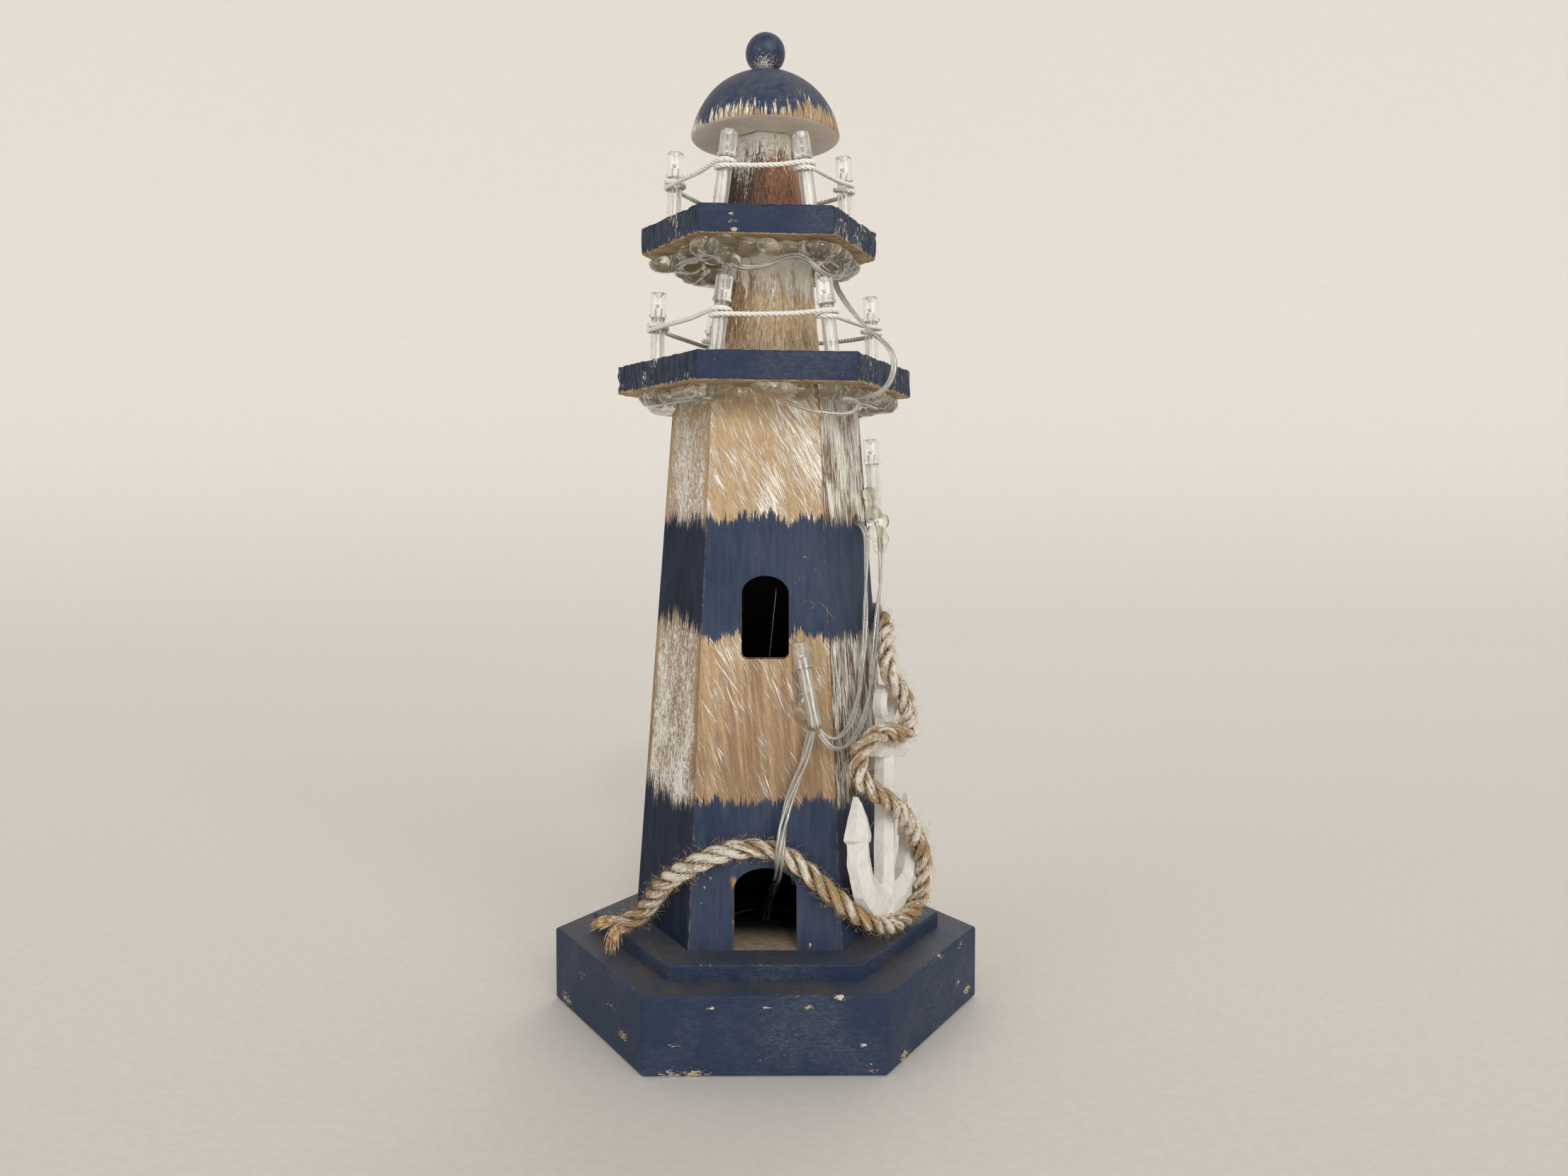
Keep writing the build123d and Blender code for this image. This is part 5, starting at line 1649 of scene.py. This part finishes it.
class MakeRails(bpy.types.Operator):
    """Cotton cord hitched round the lamps of each deck."""

    bl_idname = "lighthouse.make_rails"
    bl_label = "Rail cords"

    def execute(self, context):
        sizes = context.scene.lighthouse_sizes
        colours = context.scene.lighthouse_colours
        pale = toned(colours.cotton, 1.12)
        # deep is the tone of the painted shade between the strands
        look = {
            "base": colours.cotton, "pale": pale, "deep": toned(colours.cotton, 0.74),
            "threads": 6.0, "wind": 2.0, "white": 0.7, "depth": 0.08,
        }
        cotton = fibre_finish("cotton_strands", colours, look)
        groups = lamp_groups(sizes)
        for group, rail in (("lower", sizes.lower_rail), ("upper", sizes.upper_rail)):
            name = f"{group}_rail_cord"
            line = route_line(name, self.hitch_line(groups[group][0], rail, sizes))
            strand = sizes.rail_radius * 0.55
            mesh = twist(
                line, cotton, 3, strand, sizes.rail_radius - strand, sizes.rail_lay, RAIL_STEP, 7
            )
            add_piece(name, mesh, cotton, [name])
        return {"FINISHED"}

    def hitch_line(self, places, rail, sizes):
        """From lamp to lamp on the outside, once more round each sleeve, a little lower."""
        draw = random.Random(3)
        reach = sizes.sleeve_radius + sizes.rail_radius * 0.95
        posts = [place @ Vector((0, 0, rail)) for place in places]
        points = []
        for index, post in enumerate(posts):
            before = (post - posts[index - 1]).normalized()
            after = posts[(index + 1) % DECK_LAMPS] - post
            start = math.atan2(before.y, before.x) - math.pi / 2
            sweep = math.tau + math.tau / DECK_LAMPS
            for step in range(15):
                share = step / 14
                angle = start + sweep * share
                drop = 1.75 * MM * min(1.0, max(0.0, (share - 0.15) / 0.6))
                grip = reach + draw.uniform(-0.03, 0.06) * MM
                around = Vector((grip * math.cos(angle), grip * math.sin(angle), 0.85 * MM - drop))
                points.append(post + around)
            out = Vector((after.y, -after.x, 0)).normalized() * reach
            for share in (0.3, 0.5, 0.7):
                sag = Vector((0, 0, (-0.9 + 0.9 * share + draw.uniform(-0.25, 0.1)) * MM))
                points.append(post + after * share + out + sag)
        points.append(points[0] + Vector((0, 0, 0.05 * MM)))
        return points


class MakeGlue(bpy.types.Operator):
    """Hot glue: lumps under the decks, dabs at the tower's lamps and fine threads."""

    bl_idname = "lighthouse.make_glue"
    bl_label = "Hot glue"

    def execute(self, context):
        sizes = context.scene.lighthouse_sizes
        colours = context.scene.lighthouse_colours
        glue = clear_finish("hot_glue", colours.glue, 0.03, 0.97, 1.28, 0.25)
        groups = lamp_groups(sizes)
        rings = (
            ("lower", sizes.lower_ring_radius, 0.0, sizes.lower_turn, 5),
            ("upper", sizes.upper_ring_radius, sizes.upper_shift, sizes.upper_turn, 8),
        )
        # Places and radii of drops that sag in front, in millimetres
        sags = {
            "lower": (),
            "upper": (
                (-14.0, -27.4, 229.2, 3.0), (-11.6, -27.8, 226.6, 2.5), (-8.4, -27.4, 225.0, 1.9),
            ),
        }
        for group, radius, shift, turn, seed in rings:
            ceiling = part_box(f"{group}_deck")[0].z
            drops = self.ring_drops(groups[group], radius, shift, turn, ceiling, seed)
            drops += [(Vector(sag[:3]) * MM, sag[3] * MM, 0.8) for sag in sags[group]]
            name = f"{group}_glue_lumps"
            add_piece(name, glue_mesh(name, drops, ceiling + 0.05 * MM), glue, [name])
        window, corner = groups["tower"][0]
        face = board_frame("front_panel")[0].to_3x3()
        beside = face @ Vector((-2.7, 0, -0.6)) * MM
        drops = [(window @ Vector((0, 0, lift * MM)) + beside, wide * MM, 1.25) for lift, wide in (
            (3.4, 1.3), (4.8, 1.7), (6.2, 1.7), (7.6, 1.3),
        )]
        behind = face @ Vector((0.2, 0, -1.9)) * MM
        drops += [(window @ Vector((0, 0, lift * MM)) + behind, 1.7 * MM, 1.0) for lift in (2, 5, 8)]
        drops += [(corner @ (Vector(spot) * MM), wide * MM, 1.0) for spot, wide in (
            ((-1.6, -0.8, 8.0), 2.0), ((-1.4, 0.6, 5.0), 1.8), ((-0.8, -1.2, 1.0), 2.3),
            ((0.9, -0.4, -1.2), 2.6), ((-0.4, -1.6, -4.0), 2.4), ((1.0, -1.2, -6.4), 2.2),
            ((0.2, -1.0, -9.0), 1.7),
        )]
        name = "tower_glue_dabs"
        add_piece(name, glue_mesh(name, drops), glue, [name])
        dress("anchor_glue_dabs", glue)
        add_piece("glue_threads", self.thread_mesh(), glue)
        return {"FINISHED"}

    def thread_mesh(self):
        """Hair-thin threads that the glue gun drew over the boards and across the window."""
        front = board_frame("front_panel")[0]
        right = board_frame("front_right_panel")[0]
        # Board, and a thread's points along it, up it and off it, in millimetres
        runs = (
            (front, [(10.6, 99.4, 0.1), (11.6, 100.8, 0.4), (13.4, 100.6, 0.6), (14.6, 98.8, 0.3),
                     (13.4, 97.8, 0.2), (14.2, 99.6, 0.5), (16.2, 99.8, 0.7), (18.2, 97.4, 0.9),
                     (20.2, 95.0, 0.2)]),
            (front, [(3.2, 104.0, -1.2), (2.4, 96.0, -1.0), (1.6, 88.0, -0.8), (1.2, 84.2, -1.2)]),
            (right, [(-19.6, 30.6, 8.8), (-14.0, 32.8, 6.0), (-6.2, 37.6, 9.0)]),
            (right, [(-21.4, 22.0, 8.4), (-14.6, 23.4, 5.4), (-7.0, 21.0, 9.0)]),
            (right, [(-12.6, 40.6, 2.0), (-15.8, 44.0, 0.6), (-18.0, 47.8, 0.2)]),
        )
        shape = bmesh.new()
        for place, points in runs:
            line = route_line("glue_thread", [place @ (Vector(point) * MM) for point in points])
            path = line_points(line)
            bpy.data.objects.remove(line)
            add_tube(shape, path, 0.07 * MM, 5)
        return to_mesh(shape, "glue_threads")

    def ring_drops(self, lamps, radius, shift, turn, ceiling, seed):
        """Drops round each lamp's end and all along the ring lead."""
        draw = random.Random(seed)
        drops = []
        places, tail, _ = lamps
        for place in places:
            end = place @ Vector((0, 0, -tail + 1.0 * MM))
            for _ in range(5):
                across, deep = draw.uniform(-3.6, 3.6), draw.uniform(-3.6, 3.6)
                off = Vector((across, deep, draw.uniform(-2.4, 0.6))) * MM
                drops.append((end + off, draw.uniform(2.6, 4.2) * MM, draw.uniform(0.5, 0.75)))
        for step in range(72):
            angle = turn + math.radians(5 * step + draw.uniform(-3, 3))
            reach = radius + draw.uniform(-4.6, 0.4) * MM
            hang = ceiling - draw.uniform(0.4, 3.0) * MM
            place = Vector((shift + reach * math.cos(angle), reach * math.sin(angle), hang))
            drops.append((place, draw.uniform(2.2, 3.8) * MM, draw.uniform(0.5, 0.8)))
        return drops


class MakeAnchor(bpy.types.Operator):
    """Ridged white anchor with its stock."""

    bl_idname = "lighthouse.make_anchor"
    bl_label = "Anchor"

    def execute(self, context):
        sizes = context.scene.lighthouse_sizes
        colours = context.scene.lighthouse_colours
        paint = chalk_finish(colours)
        face = board_frame("front_right_panel")[0]
        place = face @ Matrix.Translation((sizes.anchor_along, sizes.anchor_up, sizes.anchor_standoff))
        place = place @ Matrix.Rotation(sizes.anchor_lean, 4, "Z")
        thick = sizes.anchor_thick / MM
        shape = bmesh.new()
        self.add_limb(shape, [(0, 0.5, 3.4), (0, 5, 4.4), (0, 30, 4.3), (0, 58, 4.1)], thick)
        for side in (-1, 1):
            arm = [(0, 3.6, 5.2), (9, 4.9, 5.0), (15.4, 9.4, 4.7), (19.2, 17, 4.5), (19.7, 26, 4.2)]
            self.add_limb(shape, [(side * across, up, half) for across, up, half in arm], thick)
            fluke = [
                (19.9, 20.6, 2.4, 0.6), (19.8, 22.4, 6.0, 0.95), (19.7, 24, 6.0, 1.0), (19.5, 29, 3.6, 0.85),
                (19.3, 33, 1.4, 0.55), (19.2, 34.8, 0.4, 0.3),
            ]
            self.add_limb(shape, [(side * across, *rest) for across, *rest in fluke], thick * 1.06)
        ring = []
        for step in range(25):
            angle = math.tau * step / 24
            ring.append((4.3 * math.sin(angle), 62 - 4.3 * math.cos(angle), 1.7))
        self.add_limb(shape, ring, thick * 0.85)
        stock = bmesh.new()
        ends = [(-9.8, 48.8, 2.3), (-9.2, 48.8, 2.7), (9.2, 48.8, 2.7), (9.8, 48.8, 2.3)]
        self.add_limb(stock, ends, 5.3)
        for name, limbs in (("anchor_body", shape), ("anchor_stock", stock)):
            add_piece(name, self.carve(limbs, place, name), paint, [name])
        return {"FINISHED"}

    def add_limb(self, shape, stations, thick):
        """A limb along stations (across, up, half width, share of the thickness), ridged in front."""
        rings = []
        for index, (across, up, half, *share) in enumerate(stations):
            deep = thick * (share[0] if share else 1.0)
            last = stations[max(index - 1, 0)]
            following = stations[min(index + 1, len(stations) - 1)]
            ahead = Vector((following[0] - last[0], following[1] - last[1])).normalized()
            side = Vector((ahead.y, -ahead.x))
            ring = []
            for reach, lift in ((-1, 0), (1, 0), (1, 0.74), (0, 1.1), (-1, 0.74)):
                flat = Vector((across, up)) + side * half * reach
                ring.append(shape.verts.new((*flat, deep * lift)))
            rings.append(ring)
        join_rings(shape, rings)

    def carve(self, shape, place, name):
        """Gives the limbs small hand-cut facets and sets them in their place."""
        bmesh.ops.subdivide_edges(shape, edges=shape.edges, cuts=5, use_grid_fill=True)
        mesh = to_mesh(shape, name)
        for vertex in mesh.vertices:
            vertex.co += Vector(noise.noise_vector(vertex.co * 0.3)) * 0.22
        mesh.transform(place @ Matrix.Scale(MM, 4))
        mesh.set_sharp_from_angle(angle=math.radians(24))
        return mesh


class MakeSupply(bpy.types.Operator):
    """Battery case, cover, cells, contacts and switch under the plinth."""

    bl_idname = "lighthouse.make_supply"
    bl_label = "Battery supply"

    def execute(self, context):
        case = plastic_finish("case_plastic", (0.022, 0.023, 0.025), 0.05)
        dress("battery_case", case)
        dress("battery_cover", case)
        dress("switch_body", plastic_finish("switch_grey", (0.05, 0.05, 0.052), 0.03))
        dress("switch_slider", plastic_finish("switch_white", (0.62, 0.61, 0.58), 0.03))
        dress("battery_cells", plastic_finish("cell_jacket", (0.20, 0.21, 0.23), 0.01))
        dress("battery_contacts", metal_finish("spring_metal", (0.66, 0.64, 0.60), 0.3))
        return {"FINISHED"}


class LighthousePanel(bpy.types.Panel):
    """Lists the making steps."""

    bl_idname = "VIEW3D_PT_lighthouse"
    bl_label = "Miniature Lighthouse"
    bl_space_type = "VIEW_3D"
    bl_region_type = "UI"
    bl_category = "Lighthouse"

    def draw(self, context):
        for step in STEPS:
            self.layout.operator(step.bl_idname)


STEPS = (
    MakeStage, MakeTrees, MakeLeads, MakeRope, MakeBase, MakeTower, MakeDecks, MakeColumns,
    MakeRoof, MakeLamps, MakeRails, MakeGlue, MakeAnchor, MakeSupply,
)
CLASSES = (LighthouseSizes, LighthouseColours, *STEPS, LighthousePanel)


def register():
    """Fixes the noise and adds the classes and the scene's settings."""
    noise.seed_set(NOISE_SEED)
    for item in CLASSES:
        bpy.utils.register_class(item)
    bpy.types.Scene.lighthouse_sizes = PointerProperty(type=LighthouseSizes)
    bpy.types.Scene.lighthouse_colours = PointerProperty(type=LighthouseColours)


def unregister():
    """Removes the classes and the scene's settings."""
    del bpy.types.Scene.lighthouse_colours
    del bpy.types.Scene.lighthouse_sizes
    for item in reversed(CLASSES):
        bpy.utils.unregister_class(item)


def main():
    """Makes everything in order."""
    register()
    for step in STEPS:
        family, name = step.bl_idname.split(".")
        getattr(getattr(bpy.ops, family), name)()


if __name__ == "__main__":
    main()
